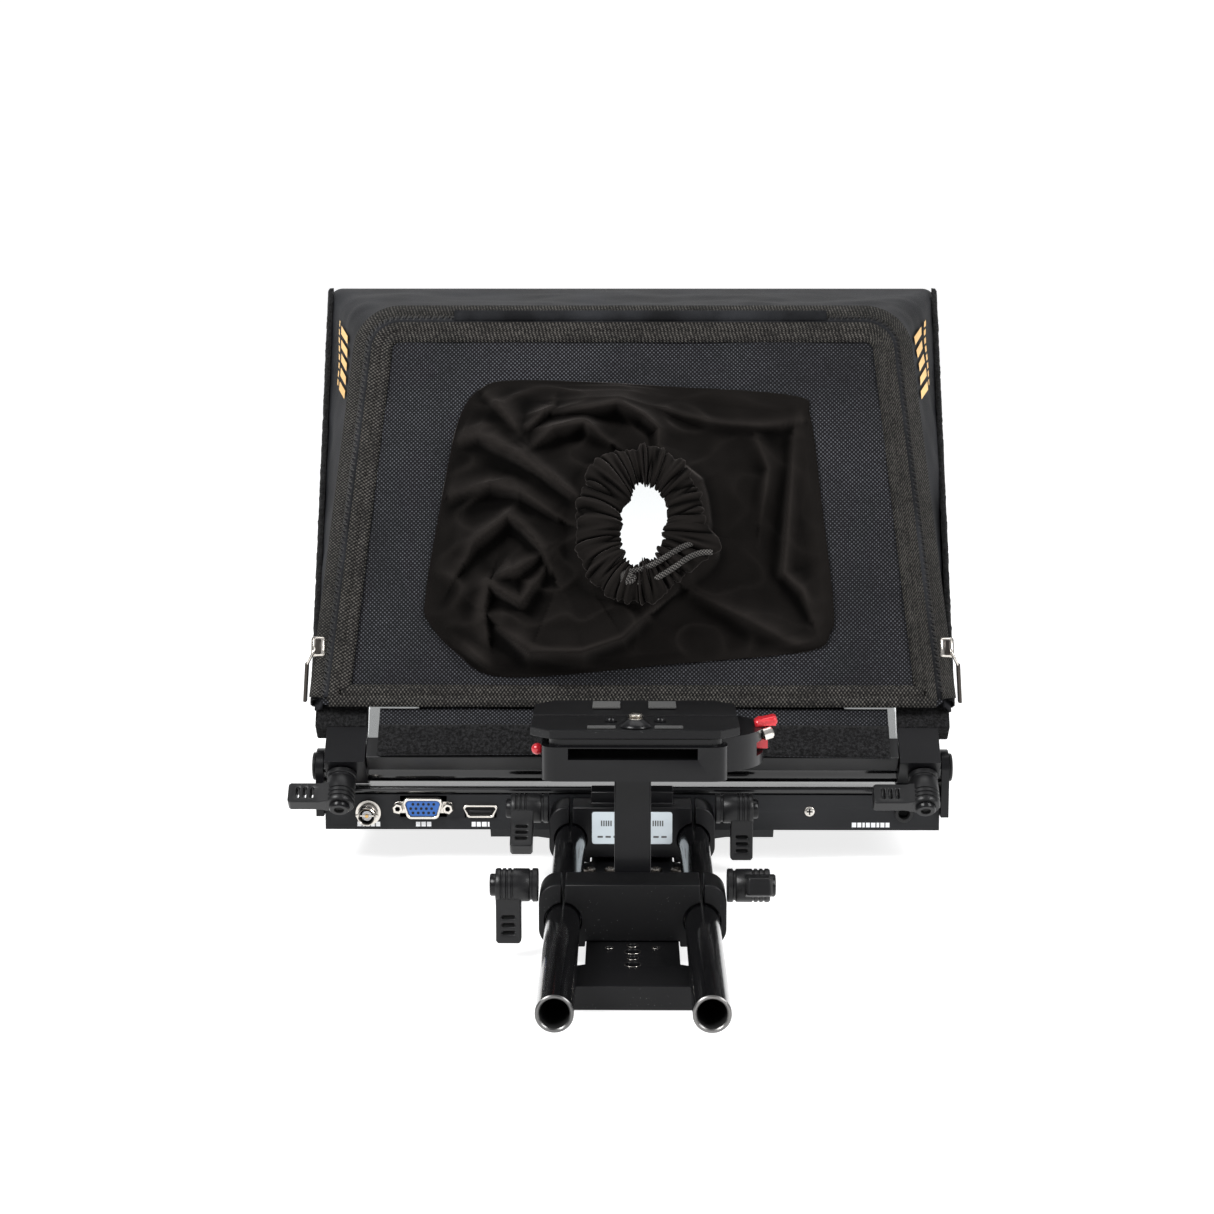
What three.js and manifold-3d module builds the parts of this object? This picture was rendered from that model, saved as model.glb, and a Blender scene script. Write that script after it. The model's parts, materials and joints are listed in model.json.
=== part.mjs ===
// Through-the-glass camera teleprompter on 15 mm rods, in millimetres, +Z up.
// The origin is under the base plate's head. +Y points from the camera operator towards the talent.
import * as THREE from 'three';
import { mergeVertices } from 'three/addons/utils/BufferGeometryUtils.js';
import Module from 'manifold-3d';

const wasm = await Module();
wasm.setup();

// ---- driving dimensions ----
const GAP = 0.3; // clearance between touching pieces
const ROD_X = 30;
const ROD_Z = 19.5;
const ROD_R = 7.5;
const ROD_BORE_R = 5.8;
const ROD_REAR = -79.5;
const ROD_FRONT = 212;
const CLAMP_BORE_R = 7.9;

const BASE_THICK = 10;
const BASE_HEAD_HALF = 30;
const BASE_NECK_HALF = 20;
const BASE_REAR = -16;
const BASE_FRONT = 66.5;

const CLAMP_HALF = 40.5;
const CLAMP_BOTTOM = 7.9;
const CLAMP_TOP = 35.5;
const NEAR_CLAMP_Y = [45.4, 67];
const FAR_CLAMP_Y = [186, 208];
const LEVER_Z = 32.5; // height of the clamp levers' axes

const RISER_HALF = 8;
const RISER_Y = [67.3, 79];
const QR_Y = [56, 128];
const QR_Z = [78.5, 96.5];
const QR_DISC = { x: 30, y: 92, r: 28 };
const QR_PLATE_Z = [96.8, 100.5];
const SCREW = { x: 1.2, y: 67 };

const MONITOR_HALF = 153.75;
const MONITOR_Y = [216, 461];
const MONITOR_Z = [16.8, 38.7];
const WALL = 2.5;

const HINGE_Y = 222.3; // axis of the cross tube, which the glass frame tilts on
const HINGE_Z = 47.8;
const TUBE_R = 7.5;
const TILT = Math.PI / 4;
const BLOCK_X = [132, 152];
const RAIL_N = [9, 20.5]; // rails' front and rear faces, measured square to the frame's plane
const RAIL_U = [10.3, 307];
const RAIL_BOTTOM_X = [132, 158];
const RAIL_TOP_X = [144, 170];
const CLOTH = 2.5;

// ---- materials ----
const finish = (color, roughness, metalness) =>
  new THREE.MeshStandardMaterial({ color, roughness, metalness });
const blackAnodised = finish(0x17171a, 0.45, 0.6);
const glossBlack = finish(0x0c0c0e, 0.2, 0.7);
const blackPlastic = finish(0x1c1c1e, 0.55, 0);
const charcoal = finish(0x2a2a2d, 0.5, 0.3);
const nickel = finish(0xb9b9b4, 0.25, 1);
const rubber = finish(0x55565a, 0.9, 0);
const red = finish(0xb0101c, 0.35, 0.2);
const blue = finish(0x1f49a8, 0.5, 0);
const nylon = finish(0x15171d, 0.85, 0);
const velvet = finish(0x120f10, 0.95, 0);
const boardGreen = finish(0x1e5a35, 0.6, 0);
const glassTint = finish(0x8b9296, 0.05, 0);

// ---- solids ----
function toSolid(geometry) {
  const bare = geometry.clone();
  bare.deleteAttribute('normal');
  bare.deleteAttribute('uv');
  const merged = mergeVertices(bare, 1e-4);
  return new wasm.Manifold(new wasm.Mesh({
    numProp: 3,
    vertProperties: Float32Array.from(merged.attributes.position.array),
    triVerts: Uint32Array.from(merged.index.array),
  }));
}

function toGeometry(solid) {
  const mesh = solid.getMesh();
  const geometry = new THREE.BufferGeometry();
  geometry.setAttribute('position', new THREE.BufferAttribute(mesh.vertProperties, 3));
  geometry.setIndex(new THREE.BufferAttribute(mesh.triVerts, 1));
  geometry.computeVertexNormals();
  return geometry;
}

function join(first, ...others) {
  return toGeometry(others.reduce((sum, one) => sum.add(toSolid(one)), toSolid(first)));
}

function cut(first, ...tools) {
  return toGeometry(tools.reduce((rest, one) => rest.subtract(toSolid(one)), toSolid(first)));
}

function box(xs, ys, zs) {
  const geometry = new THREE.BoxGeometry(xs[1] - xs[0], ys[1] - ys[0], zs[1] - zs[0]);
  return geometry.translate((xs[0] + xs[1]) / 2, (ys[0] + ys[1]) / 2, (zs[0] + zs[1]) / 2);
}

const along = {
  x: (geometry) => geometry.rotateZ(-Math.PI / 2),
  y: (geometry) => geometry,
  z: (geometry) => geometry.rotateX(Math.PI / 2),
};

// A cylinder along one axis; at holds the two other coordinates, in x, y, z order.
function round(axis, radius, range, at, sides = 24) {
  const geometry = along[axis](new THREE.CylinderGeometry(radius, radius, range[1] - range[0], sides));
  const middle = (range[0] + range[1]) / 2;
  const place = { x: [middle, at[0], at[1]], y: [at[0], middle, at[1]], z: [at[0], at[1], middle] };
  return geometry.translate(...place[axis]);
}

// A tube along one axis, open at both ends.
function tube(axis, outer, inner, range, at, sides = 24) {
  const length = range[1] - range[0];
  const profile = [[inner, 0], [outer, 0], [outer, length], [inner, length], [inner, 0]];
  const lathe = new THREE.LatheGeometry(profile.map(([r, h]) => new THREE.Vector2(r, h)), sides);
  const geometry = along[axis](lathe.translate(0, -length / 2, 0));
  const middle = (range[0] + range[1]) / 2;
  const place = { x: [middle, at[0], at[1]], y: [at[0], middle, at[1]], z: [at[0], at[1], middle] };
  return geometry.translate(...place[axis]);
}

function extrude(shape, depth, curveSegments = 6) {
  return new THREE.ExtrudeGeometry(shape, { depth, bevelEnabled: false, curveSegments, steps: 1 });
}

// Outlines drawn in x and z, extruded along Y.
function extrudeY(shape, range, curveSegments) {
  return extrude(shape, range[1] - range[0], curveSegments).rotateX(Math.PI / 2).translate(0, range[1], 0);
}

// Outlines drawn in x and y, extruded along Z.
function extrudeZ(shape, range, curveSegments) {
  return extrude(shape, range[1] - range[0], curveSegments).translate(0, 0, range[0]);
}

// Outlines drawn in y and z, extruded along X.
function extrudeX(shape, range, curveSegments) {
  const turn = new THREE.Matrix4().set(0, 0, 1, range[0], 1, 0, 0, 0, 0, 1, 0, 0, 0, 0, 0, 1);
  return extrude(shape, range[1] - range[0], curveSegments).applyMatrix4(turn);
}

function outline(points) {
  return new THREE.Shape(points.map(([a, b]) => new THREE.Vector2(a, b)));
}

function roundedOutline(a, b, radius) {
  const shape = new THREE.Shape();
  shape.moveTo(a[0] + radius, b[0]);
  shape.lineTo(a[1] - radius, b[0]);
  shape.absarc(a[1] - radius, b[0] + radius, radius, -Math.PI / 2, 0);
  shape.lineTo(a[1], b[1] - radius);
  shape.absarc(a[1] - radius, b[1] - radius, radius, 0, Math.PI / 2);
  shape.lineTo(a[0] + radius, b[1]);
  shape.absarc(a[0] + radius, b[1] - radius, radius, Math.PI / 2, Math.PI);
  shape.lineTo(a[0], b[0] + radius);
  shape.absarc(a[0] + radius, b[0] + radius, radius, Math.PI, 1.5 * Math.PI);
  return shape;
}

// A closed body between two loops of points with the same count: sides, and both ends as fans.
function loft(loops, closed = false) {
  const count = loops[0].length;
  const positions = loops.flat(2);
  const index = [];
  const rings = closed ? loops.length : loops.length - 1;
  for (let ring = 0; ring < rings; ring += 1) {
    const low = ring * count;
    const high = ((ring + 1) % loops.length) * count;
    for (let i = 0; i < count; i += 1) {
      const next = (i + 1) % count;
      index.push(low + i, low + next, high + next, low + i, high + next, high + i);
    }
  }
  if (!closed) {
    const last = (loops.length - 1) * count;
    for (let i = 1; i < count - 1; i += 1) {
      index.push(0, i + 1, i, last, last + i, last + i + 1);
    }
  }
  const geometry = new THREE.BufferGeometry();
  geometry.setAttribute('position', new THREE.Float32BufferAttribute(positions, 3));
  geometry.setIndex(index);
  geometry.computeVertexNormals();
  return geometry;
}

// A panel of cloth between an outer quad and the same quad moved by an offset.
function panel(corners, offset) {
  const inner = corners.map((corner) => corner.map((value, i) => value + offset[i]));
  return loft([inner, corners]);
}

// ---- assembly ----
const teleprompter = new THREE.Group();
const glassFrame = new THREE.Group(); // local x across, y up the frame (u), z square to it (n)
glassFrame.position.set(0, HINGE_Y, HINGE_Z);
glassFrame.rotation.x = TILT;
teleprompter.add(glassFrame);

function add(name, geometry, material, parent = teleprompter) {
  const mesh = new THREE.Mesh(geometry, material);
  mesh.name = name;
  parent.add(mesh);
  return mesh;
}

const SIDES = [['left', -1], ['right', 1]];

// ---- base, rods and clamps ----
function basePlate() {
  const shoulder = [14, 9];
  const shape = outline([
    [-BASE_HEAD_HALF, BASE_REAR], [BASE_HEAD_HALF, BASE_REAR], [BASE_HEAD_HALF, shoulder[1]],
    [BASE_NECK_HALF, shoulder[0]], [BASE_NECK_HALF, BASE_FRONT], [-BASE_NECK_HALF, BASE_FRONT],
    [-BASE_NECK_HALF, shoulder[0]], [-BASE_HEAD_HALF, shoulder[1]],
  ]);
  const threads = [[0, 14, 3.2], [0, 23, 2.2], [0, 32, 3.2], [0, 41, 2.2], [-10, 38, 1.5], [10, 38, 1.5]];
  const holes = threads.map(([x, y, r]) => round('z', r, [-1, BASE_THICK + 1], [x, y], 12));
  return cut(extrudeZ(shape, [0, BASE_THICK]), ...holes);
}

function rodClamp(ys, tongueHalf) {
  const shape = new THREE.Shape();
  const corner = 8;
  const notchHalf = BASE_NECK_HALF + GAP + 0.2;
  const notchTop = BASE_THICK + GAP;
  shape.moveTo(-CLAMP_HALF + corner, CLAMP_BOTTOM);
  shape.lineTo(-notchHalf, CLAMP_BOTTOM);
  shape.lineTo(-notchHalf, notchTop);
  shape.lineTo(notchHalf, notchTop);
  shape.lineTo(notchHalf, CLAMP_BOTTOM);
  shape.lineTo(CLAMP_HALF - corner, CLAMP_BOTTOM);
  shape.absarc(CLAMP_HALF - corner, CLAMP_BOTTOM + corner, corner, -Math.PI / 2, 0);
  shape.lineTo(CLAMP_HALF, CLAMP_TOP - corner);
  shape.absarc(CLAMP_HALF - corner, CLAMP_TOP - corner, corner, 0, Math.PI / 2);
  shape.lineTo(-CLAMP_HALF + corner, CLAMP_TOP);
  shape.absarc(-CLAMP_HALF + corner, CLAMP_TOP - corner, corner, Math.PI / 2, Math.PI);
  shape.lineTo(-CLAMP_HALF, CLAMP_BOTTOM + corner);
  shape.absarc(-CLAMP_HALF + corner, CLAMP_BOTTOM + corner, corner, Math.PI, 1.5 * Math.PI);
  const body = extrudeY(shape, ys);
  const over = [ys[0] - 1, ys[1] + 1];
  const slit = 0.9;
  const bores = SIDES.map(([, side]) => round('y', CLAMP_BORE_R, over, [side * ROD_X, ROD_Z], 32));
  const slits = SIDES.map(([, side]) => box(
    [side * ROD_X - slit, side * ROD_X + slit], over, [ROD_Z, CLAMP_TOP + 1]));
  const clamp = cut(body, ...bores, ...slits);
  if (!tongueHalf) {
    return clamp;
  }
  const tongue = box([-tongueHalf, tongueHalf], [ys[0] + 8, ys[1]], [CLAMP_TOP - 2, CLAMP_TOP + 6]);
  return join(clamp, tongue);
}

// One ratchet lever: z is its axis, outwards, x its arm's direction, y across the arm.
const LEVER = { r: 7.3, length: 19, arm: 25.6, armHalf: 3.75, armFrom: 7.6, capR: 4.8, cap: 2.4 };

function leverHandle() {
  const body = round('z', LEVER.r, [GAP, LEVER.length], [0, 0], 20);
  const arm = box([0, LEVER.arm], [-LEVER.armHalf, LEVER.armHalf], [LEVER.armFrom, LEVER.length]);
  const grip = join(body, arm);
  const collar = cut(round('z', 9, [3, 4], [0, 0], 20), round('z', 6.6, [2, 5], [0, 0], 20));
  const slots = [13, 16.6, 20.2].map((x) => box([x, x + 1.7], [-9, 9], [LEVER.armFrom + 2.4, LEVER.length - 3]));
  return cut(grip, collar, ...slots);
}

function leverScrew() {
  const head = round('z', LEVER.capR, [LEVER.length + GAP, LEVER.length + GAP + LEVER.cap], [0, 0], 16);
  return cut(head, round('z', 2.4, [LEVER.length + 1, LEVER.length + 9], [0, 0], 6));
}

function addLever(name, place, axis, arm, parent = teleprompter) {
  const group = new THREE.Group();
  const z = new THREE.Vector3(...axis);
  const x = new THREE.Vector3(...arm);
  group.setRotationFromMatrix(new THREE.Matrix4().makeBasis(x, z.clone().cross(x), z));
  group.position.set(...place);
  add(`${name}_lever`, leverHandle(), blackPlastic, group);
  add(`${name}_lever_screw`, leverScrew(), blackAnodised, group);
  parent.add(group);
}

add('base_plate', basePlate(), blackAnodised);
add('near_rod_clamp', rodClamp(NEAR_CLAMP_Y), blackAnodised);
add('far_rod_clamp', rodClamp(FAR_CLAMP_Y, 20.2), blackAnodised);
SIDES.forEach(([side, sign]) => {
  const place = [sign * ROD_X, ROD_Z];
  add(`${side}_rod`, tube('y', ROD_R, ROD_BORE_R, [ROD_REAR, ROD_FRONT], place), glossBlack);
});

const middleOf = ([low, high]) => (low + high) / 2;
const leverLean = THREE.MathUtils.degToRad(50);
const leverRise = THREE.MathUtils.degToRad(14);
const DOWN = [0, 0, -1];
const raised = [0, -Math.cos(leverRise), Math.sin(leverRise)];
const leaned = [0, -Math.sin(leverLean), -Math.cos(leverLean)];
addLever('near_left', [-CLAMP_HALF, middleOf(NEAR_CLAMP_Y), LEVER_Z], [-1, 0, 0], DOWN);
addLever('near_right', [CLAMP_HALF, middleOf(NEAR_CLAMP_Y), LEVER_Z], [1, 0, 0], raised);
addLever('far_left', [-CLAMP_HALF, middleOf(FAR_CLAMP_Y), LEVER_Z], [-1, 0, 0], leaned);
addLever('far_right', [CLAMP_HALF, middleOf(FAR_CLAMP_Y), LEVER_Z], [1, 0, 0], DOWN);

// ---- camera platform ----
function quickReleaseBase() {
  const chamfer = 3;
  const body = extrudeZ(roundedOutline([-39.5, 41], QR_Y, 6), [QR_Z[0], QR_Z[1] - chamfer]);
  const top = extrudeZ(roundedOutline([-36.5, 39], [QR_Y[0] + 3, QR_Y[1] - 3], 6),
    [QR_Z[1] - 2 * chamfer, QR_Z[1]]);
  const disc = round('z', QR_DISC.r, [QR_Z[0] + 2, QR_Z[1] - 0.5], [QR_DISC.x, QR_DISC.y], 40);
  const window = box([-28, 28], [QR_Y[0] - 1, QR_Y[0] + 22], [88, 93]);
  const hub = round('z', 6.5, [85, 91], [QR_DISC.x, QR_DISC.y], 24);
  const sweep = [[0, 0]];
  for (let angle = -0.5; angle < 1.2; angle += 0.2) {
    sweep.push([40 * Math.cos(angle), 40 * Math.sin(angle)]);
  }
  const slot = extrudeZ(outline(sweep), [85, 91]).translate(QR_DISC.x, QR_DISC.y, 0);
  const pinBore = round('x', 3.2, [-50, -28], [QR_DISC.y, 85.2], 16);
  return cut(join(body, top, disc), window, hub, slot, pinBore);
}

function quickReleasePlate() {
  const half = { x: 45.5, y: 34, bevel: 8.7 };
  const centre = [1, QR_DISC.y];
  const corners = [[-1, -1], [1, -1], [1, 1], [-1, 1]];
  const points = corners.flatMap(([a, b]) => {
    const alongX = [centre[0] + a * (half.x - half.bevel), centre[1] + b * half.y];
    const alongY = [centre[0] + a * half.x, centre[1] + b * (half.y - half.bevel)];
    return a * b > 0 ? [alongY, alongX] : [alongX, alongY];
  });
  const plate = extrudeZ(outline(points), QR_PLATE_Z);
  const groove = box([-60, 60], [QR_DISC.y - 1, QR_DISC.y + 0.4], [QR_PLATE_Z[1] - 0.6, 110]);
  return cut(plate, groove);
}

function cameraScrew() {
  const z = QR_PLATE_Z[1] + GAP;
  const profile = [[0, z], [7, z], [6.6, z + 1], [3.8, z + 3.2], [3.1, z + 3.4], [3.1, z + 5.4], [0, z + 5.4]];
  const head = new THREE.LatheGeometry(profile.map(([r, h]) => new THREE.Vector2(r, h)), 20);
  return along.z(head).translate(SCREW.x, SCREW.y, 0);
}

function quickReleaseLever() {
  const hub = round('z', 6, [85.4, 90.6], [QR_DISC.x, QR_DISC.y], 20);
  const arm = box([QR_DISC.x + 2, 60], [QR_DISC.y - 2.4, QR_DISC.y + 2.4], [86, 90.2]);
  const post = box([58.4, 60.6], [QR_DISC.y - 1, QR_DISC.y + 2.4], [86, 98]);
  const thumb = box([55.6, 63.6], [QR_DISC.y - 4, QR_DISC.y + 4], [96.6, 99.4]);
  return join(hub, arm, post, thumb);
}

function lockPin() {
  const ball = new THREE.SphereGeometry(2.6, 12, 8).translate(-42.6, QR_DISC.y, 85.2);
  return join(ball, round('x', 2, [-43, -32], [QR_DISC.y, 85.2], 12));
}

add('riser_bar', box([-RISER_HALF, RISER_HALF], RISER_Y, [10.6, QR_Z[0] - GAP]), blackAnodised);
add('quick_release_base', quickReleaseBase(), blackAnodised);
add('quick_release_plate', quickReleasePlate(), blackAnodised);
SIDES.forEach(([side, sign]) => {
  const x = sign * 12.6 + 0.75;
  const pad = box([x - 6.3, x + 6.3], [104.5, 118], [QR_PLATE_Z[1] + GAP, 101.8]);
  add(`${side}_camera_pad`, pad, rubber);
});
add('camera_screw', cameraScrew(), nickel);
add('quick_release_lever', quickReleaseLever(), red);
add('quick_release_pin', lockPin(), red);

// ---- monitor, lying flat ----
function monitorShell() {
  const [front, back] = [MONITOR_Y[0], MONITOR_Y[1]];
  const tub = box([-MONITOR_HALF, MONITOR_HALF], [front, back], [MONITOR_Z[0], MONITOR_Z[1] - 4]);
  const hump = extrudeX(outline([[229, 17], [236, 8], [386, 8], [394, 17]]), [-72, 72]);
  const inside = box([-MONITOR_HALF + WALL, MONITOR_HALF - WALL], [front + WALL, back - WALL],
    [MONITOR_Z[0] + WALL, MONITOR_Z[1]]);
  const ports = [
    round('y', 5.2, [front - 1, front + 6], [-132, 25.7], 20),
    box([-116.2, -92.8], [front - 1, front + 6], [23.2, 34]),
    box([-83.9, -67.9], [front - 1, front + 6], [22.9, 29.3]),
    round('y', 4.2, [front - 1, front + 6], [136, 25.7], 16),
    round('y', 1.6, [front - 1, front + 6], [88.8, 26.5], 10),
  ];
  return cut(join(tub, hump), inside, ...ports);
}

function bezel() {
  const frame = box([-MONITOR_HALF, MONITOR_HALF], MONITOR_Y, [MONITOR_Z[1] - 3.7, MONITOR_Z[1]]);
  return cut(frame, box([-124, 124], [MONITOR_Y[0] + 25, MONITOR_Y[1] - 33], [30, 50]));
}

const screenY = [MONITOR_Y[0] + 23, MONITOR_Y[1] - 31];
add('monitor_rear_shell', monitorShell(), charcoal);
add('monitor_bezel', bezel(), blackPlastic);
add('lcd_panel', box([-126, 126], screenY, [29, MONITOR_Z[1] - 4]), glossBlack);
add('monitor_board', box([-118, 118], [MONITOR_Y[0] + 25, 330], [22, 23.6]), boardGreen);
add('video_socket', join(
  round('y', 4.8, [204, 221], [-132, 25.7], 20),
  round('y', 5.4, [205, 208], [-132, 25.7], 20)), nickel);
add('monitor_input_socket', cut(
  box([-115.8, -93.2], [213, 221], [23.6, 33.6]),
  box([-113.5, -95.5], [210, 218], [24.6, 32.6])), nickel);
add('monitor_input_insert', box([-112.8, -96.2], [214, 217.6], [25.2, 32]), blue);
add('digital_video_socket', cut(
  box([-83.5, -68.3], [215, 221], [23.3, 28.9]),
  box([-82.3, -69.5], [214, 219], [24.3, 27.9])), nickel);
add('power_socket', cut(
  round('y', 3.9, [214.6, 221], [136, 25.7], 16),
  round('y', 2.7, [214, 219], [136, 25.7], 16)), blackPlastic);
add('shell_screw', join(
  round('y', 2.7, [214.6, 215.7], [88.8, 26.5], 14),
  round('y', 1.2, [215, 221], [88.8, 26.5], 10)), nickel);
add('monitor_mount_plate', extrudeZ(outline([
  [-25, 160], [25, 160], [25, 186], [20, 190], [20, 236], [58, 256], [58, 356], [-58, 356], [-58, 256], [-20, 236], [-20, 190], [-25, 186],
]), [4, 7.6]), blackAnodised);

SIDES.forEach(([side, sign]) => {
  const ear = new THREE.Shape();
  ear.moveTo(HINGE_Y - 9, 24);
  ear.lineTo(HINGE_Y + 30, 24);
  ear.lineTo(HINGE_Y + 9, HINGE_Z);
  ear.absarc(HINGE_Y, HINGE_Z, 9, 0, Math.PI);
  const xs = [154.1, 158].map((x) => sign * x).sort((a, b) => a - b);
  const bore = round('x', 7.8, [xs[0] - 1, xs[1] + 1], [HINGE_Y, HINGE_Z], 32);
  add(`${side}_ear`, cut(extrudeX(ear, xs, 8), bore), blackAnodised);
  const capXs = [158.3, 160].map((x) => sign * x).sort((a, b) => a - b);
  add(`${side}_tube_cap`, round('x', 7, capXs, [HINGE_Y, HINGE_Z], 20), blackPlastic);
});
add('cross_tube', tube('x', TUBE_R, 6, [-158, 158], [HINGE_Y, HINGE_Z]), glossBlack);

// ---- glass frame, in its own tilted frame ----
function hingeBlock(sign) {
  const shape = new THREE.Shape();
  const nose = 8.7;
  shape.moveTo(-10.6, RAIL_N[1]);
  shape.lineTo(-10.6, 1.5);
  shape.absarc(0, 0, nose, Math.PI, 2 * Math.PI);
  shape.lineTo(nose, 8.7);
  shape.lineTo(10, RAIL_N[1]);
  const xs = BLOCK_X.map((x) => sign * x).sort((a, b) => a - b);
  const bore = round('x', 7.8, [xs[0] - 1, xs[1] + 1], [0, 0], 32);
  return cut(extrudeX(shape, xs, 10), bore);
}

const railEdge = (u, bottom, top) => bottom + (top - bottom) * ((u - RAIL_U[0]) / (RAIL_U[1] - RAIL_U[0]));

function sideRail(sign) {
  const at = (u, n) => {
    const inner = sign * railEdge(u, RAIL_BOTTOM_X[0], RAIL_TOP_X[0]);
    const outer = sign * railEdge(u, RAIL_BOTTOM_X[1], RAIL_TOP_X[1]);
    return [[inner, u, n], [outer, u, n]];
  };
  const ring = (u) => {
    const [a, b] = at(u, RAIL_N[0]);
    const [c, d] = at(u, RAIL_N[1]);
    return sign > 0 ? [a, c, d, b] : [b, d, c, a];
  };
  return loft([ring(RAIL_U[0]), ring(RAIL_U[1])]);
}

const innerHalf = (u) => railEdge(u, RAIL_BOTTOM_X[0], RAIL_TOP_X[0]) - GAP;
SIDES.forEach(([side, sign]) => {
  add(`${side}_hinge_block`, hingeBlock(sign), blackAnodised, glassFrame);
  add(`${side}_frame_rail`, sideRail(sign), blackPlastic, glassFrame);
});
add('bottom_frame_rail', box([-131.6, 131.6], [-8, 4], RAIL_N), blackPlastic, glassFrame);
add('top_frame_rail', extrudeZ(outline([
  [-innerHalf(283), 283], [innerHalf(283), 283], [innerHalf(307), 307], [-innerHalf(307), 307],
]), RAIL_N), blackPlastic, glassFrame);
add('beamsplitter_glass', extrudeZ(outline([
  [-131.6, 4.3], [131.6, 4.3], [innerHalf(282.7), 282.7], [-innerHalf(282.7), 282.7],
]), [13, 16]), glassTint, glassFrame);
addLever('frame_left', [-144, -10.6, 10], [0, -1, 0], [-1, 0, 0], glassFrame);
addLever('frame_right', [144, -10.6, 10], [0, -1, 0], [-1, 0, 0], glassFrame);

// ---- hood ----
const FOOT = RAIL_N[1] + GAP; // where the cloth meets the rails
const HOOD = {
  footLow: [158, 19, FOOT], footHigh: [170, 307, FOOT], rearHigh: [136, 207, 106], rearLow: [155, 19, 26],
};
const rearSlope = Math.atan2(HOOD.rearHigh[2] - HOOD.rearLow[2], HOOD.rearHigh[1] - HOOD.rearLow[1]);
const rearLength = Math.hypot(HOOD.rearHigh[2] - HOOD.rearLow[2], HOOD.rearHigh[1] - HOOD.rearLow[1]);

function hoodSide(sign) {
  const lift = CLOTH + 1;
  const corners = [HOOD.footLow, HOOD.footHigh, HOOD.rearHigh, HOOD.rearLow].map(([x, u, n], i) =>
    [sign * x, u, i < 2 ? n : n - lift]);
  return panel(sign > 0 ? corners : corners.reverse(), [-sign * CLOTH, 0, 0]);
}

function hoodTop() {
  const inset = CLOTH + 1.2;
  const [low, high] = [HOOD.rearHigh, HOOD.footHigh];
  const corners = [
    [-low[0] + inset, low[1] + 1.5, low[2] - 4], [low[0] - inset, low[1] + 1.5, low[2] - 4],
    [high[0] - inset, high[1], high[2]], [-high[0] + inset, high[1], high[2]],
  ];
  return panel(corners, [0, -CLOTH * 1.3, 0]);
}

// The rear panel's own plane: x across, s up from its bottom edge, t square to it.
const rearPlane = new THREE.Group();
rearPlane.position.set(0, HOOD.rearLow[1], HOOD.rearLow[2]);
rearPlane.rotation.x = rearSlope;
glassFrame.add(rearPlane);

const SOCK = { low: 27, high: 164, lowHalf: 97, highHalf: 82 }; // opening for the lens sock

function sockOpening(grow, count = 32) {
  const points = [];
  for (let i = 0; i < count; i += 1) {
    const angle = (2 * Math.PI * i) / count;
    const power = 0.62; // between an ellipse and a rectangle
    const c = Math.sign(Math.cos(angle)) * Math.abs(Math.cos(angle)) ** power;
    const s = Math.sign(Math.sin(angle)) * Math.abs(Math.sin(angle)) ** power;
    const blend = (s + 1) / 2;
    const half = SOCK.lowHalf + (SOCK.highHalf - SOCK.lowHalf) * blend;
    const rise = (SOCK.high - SOCK.low) / 2;
    points.push([c * (half + grow), SOCK.low + rise + s * (rise + grow)]);
  }
  return points;
}

function rearPanel() {
  const [low, high] = [HOOD.rearLow[0], HOOD.rearHigh[0]];
  const shape = outline([[-low, 0], [low, 0], [high, rearLength], [-high, rearLength]]);
  shape.holes.push(new THREE.Path(sockOpening(0).map(([x, s]) => new THREE.Vector2(x, s))));
  return extrudeZ(shape, [-CLOTH, 0]);
}

// Bunched sleeve from the opening to a gathered neck ring that stands out of the panel.
const NECK = { x: 10, s: 84, outer: 41, inner: 20, out: 34 };

function lensSock() {
  const count = 32;
  const neck = (radius, t) => Array.from({ length: count }, (_, i) => {
    const angle = (2 * Math.PI * i) / count;
    return [NECK.x + radius * Math.cos(angle), NECK.s + radius * Math.sin(angle), t];
  });
  const edge = (grow, t) => sockOpening(grow, count).map(([x, s]) => [x, s, t]);
  const blend = (a, b, f) => a.map((p, i) => p.map((v, k) => v + (b[i][k] - v) * f));
  const outerEdge = edge(-GAP - 0.5, 3);
  const innerEdge = edge(-5, -2);
  const outerNeck = neck(NECK.outer, NECK.out - 14);
  const innerNeck = neck(NECK.inner, NECK.out - 12);
  const loops = [
    innerEdge, outerEdge, blend(outerEdge, outerNeck, 0.5).map(([x, s]) => [x, s, 16]), outerNeck,
    neck(NECK.outer - 3, NECK.out - 4), neck((NECK.outer + NECK.inner) / 2, NECK.out),
    neck(NECK.inner + 2, NECK.out - 5), innerNeck,
    neck(NECK.outer - 8, NECK.out - 20), blend(innerEdge, outerNeck, 0.5).map(([x, s]) => [x, s, 8]),
  ];
  return loft(loops, true);
}

add('hood_left_side', hoodSide(-1), nylon, glassFrame);
add('hood_right_side', hoodSide(1), nylon, glassFrame);
add('hood_top', hoodTop(), nylon, glassFrame);
add('hood_rear_panel', rearPanel(), nylon, rearPlane);
add('lens_sock', lensSock(), velvet, rearPlane);
add('hood_flap', extrudeX(outline([
  [18.5, FOOT + 1.5], [18.5, FOOT + 4], [-8, FOOT + 2.5], [-8, FOOT + 0.2],
]), [-125.7, 127]), nylon, glassFrame);

// ---- drawstring: two strands from the neck's casing to their common knot ----
function strand(points) {
  const curve = new THREE.CatmullRomCurve3(points.map((p) => new THREE.Vector3(...p)));
  const section = outline(Array.from({ length: 8 }, (_, i) => {
    const angle = (Math.PI * i) / 4;
    return [1.5 * Math.cos(angle), 1.5 * Math.sin(angle)];
  }));
  return new THREE.ExtrudeGeometry(section, { steps: 10, bevelEnabled: false, extrudePath: curve });
}

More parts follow.
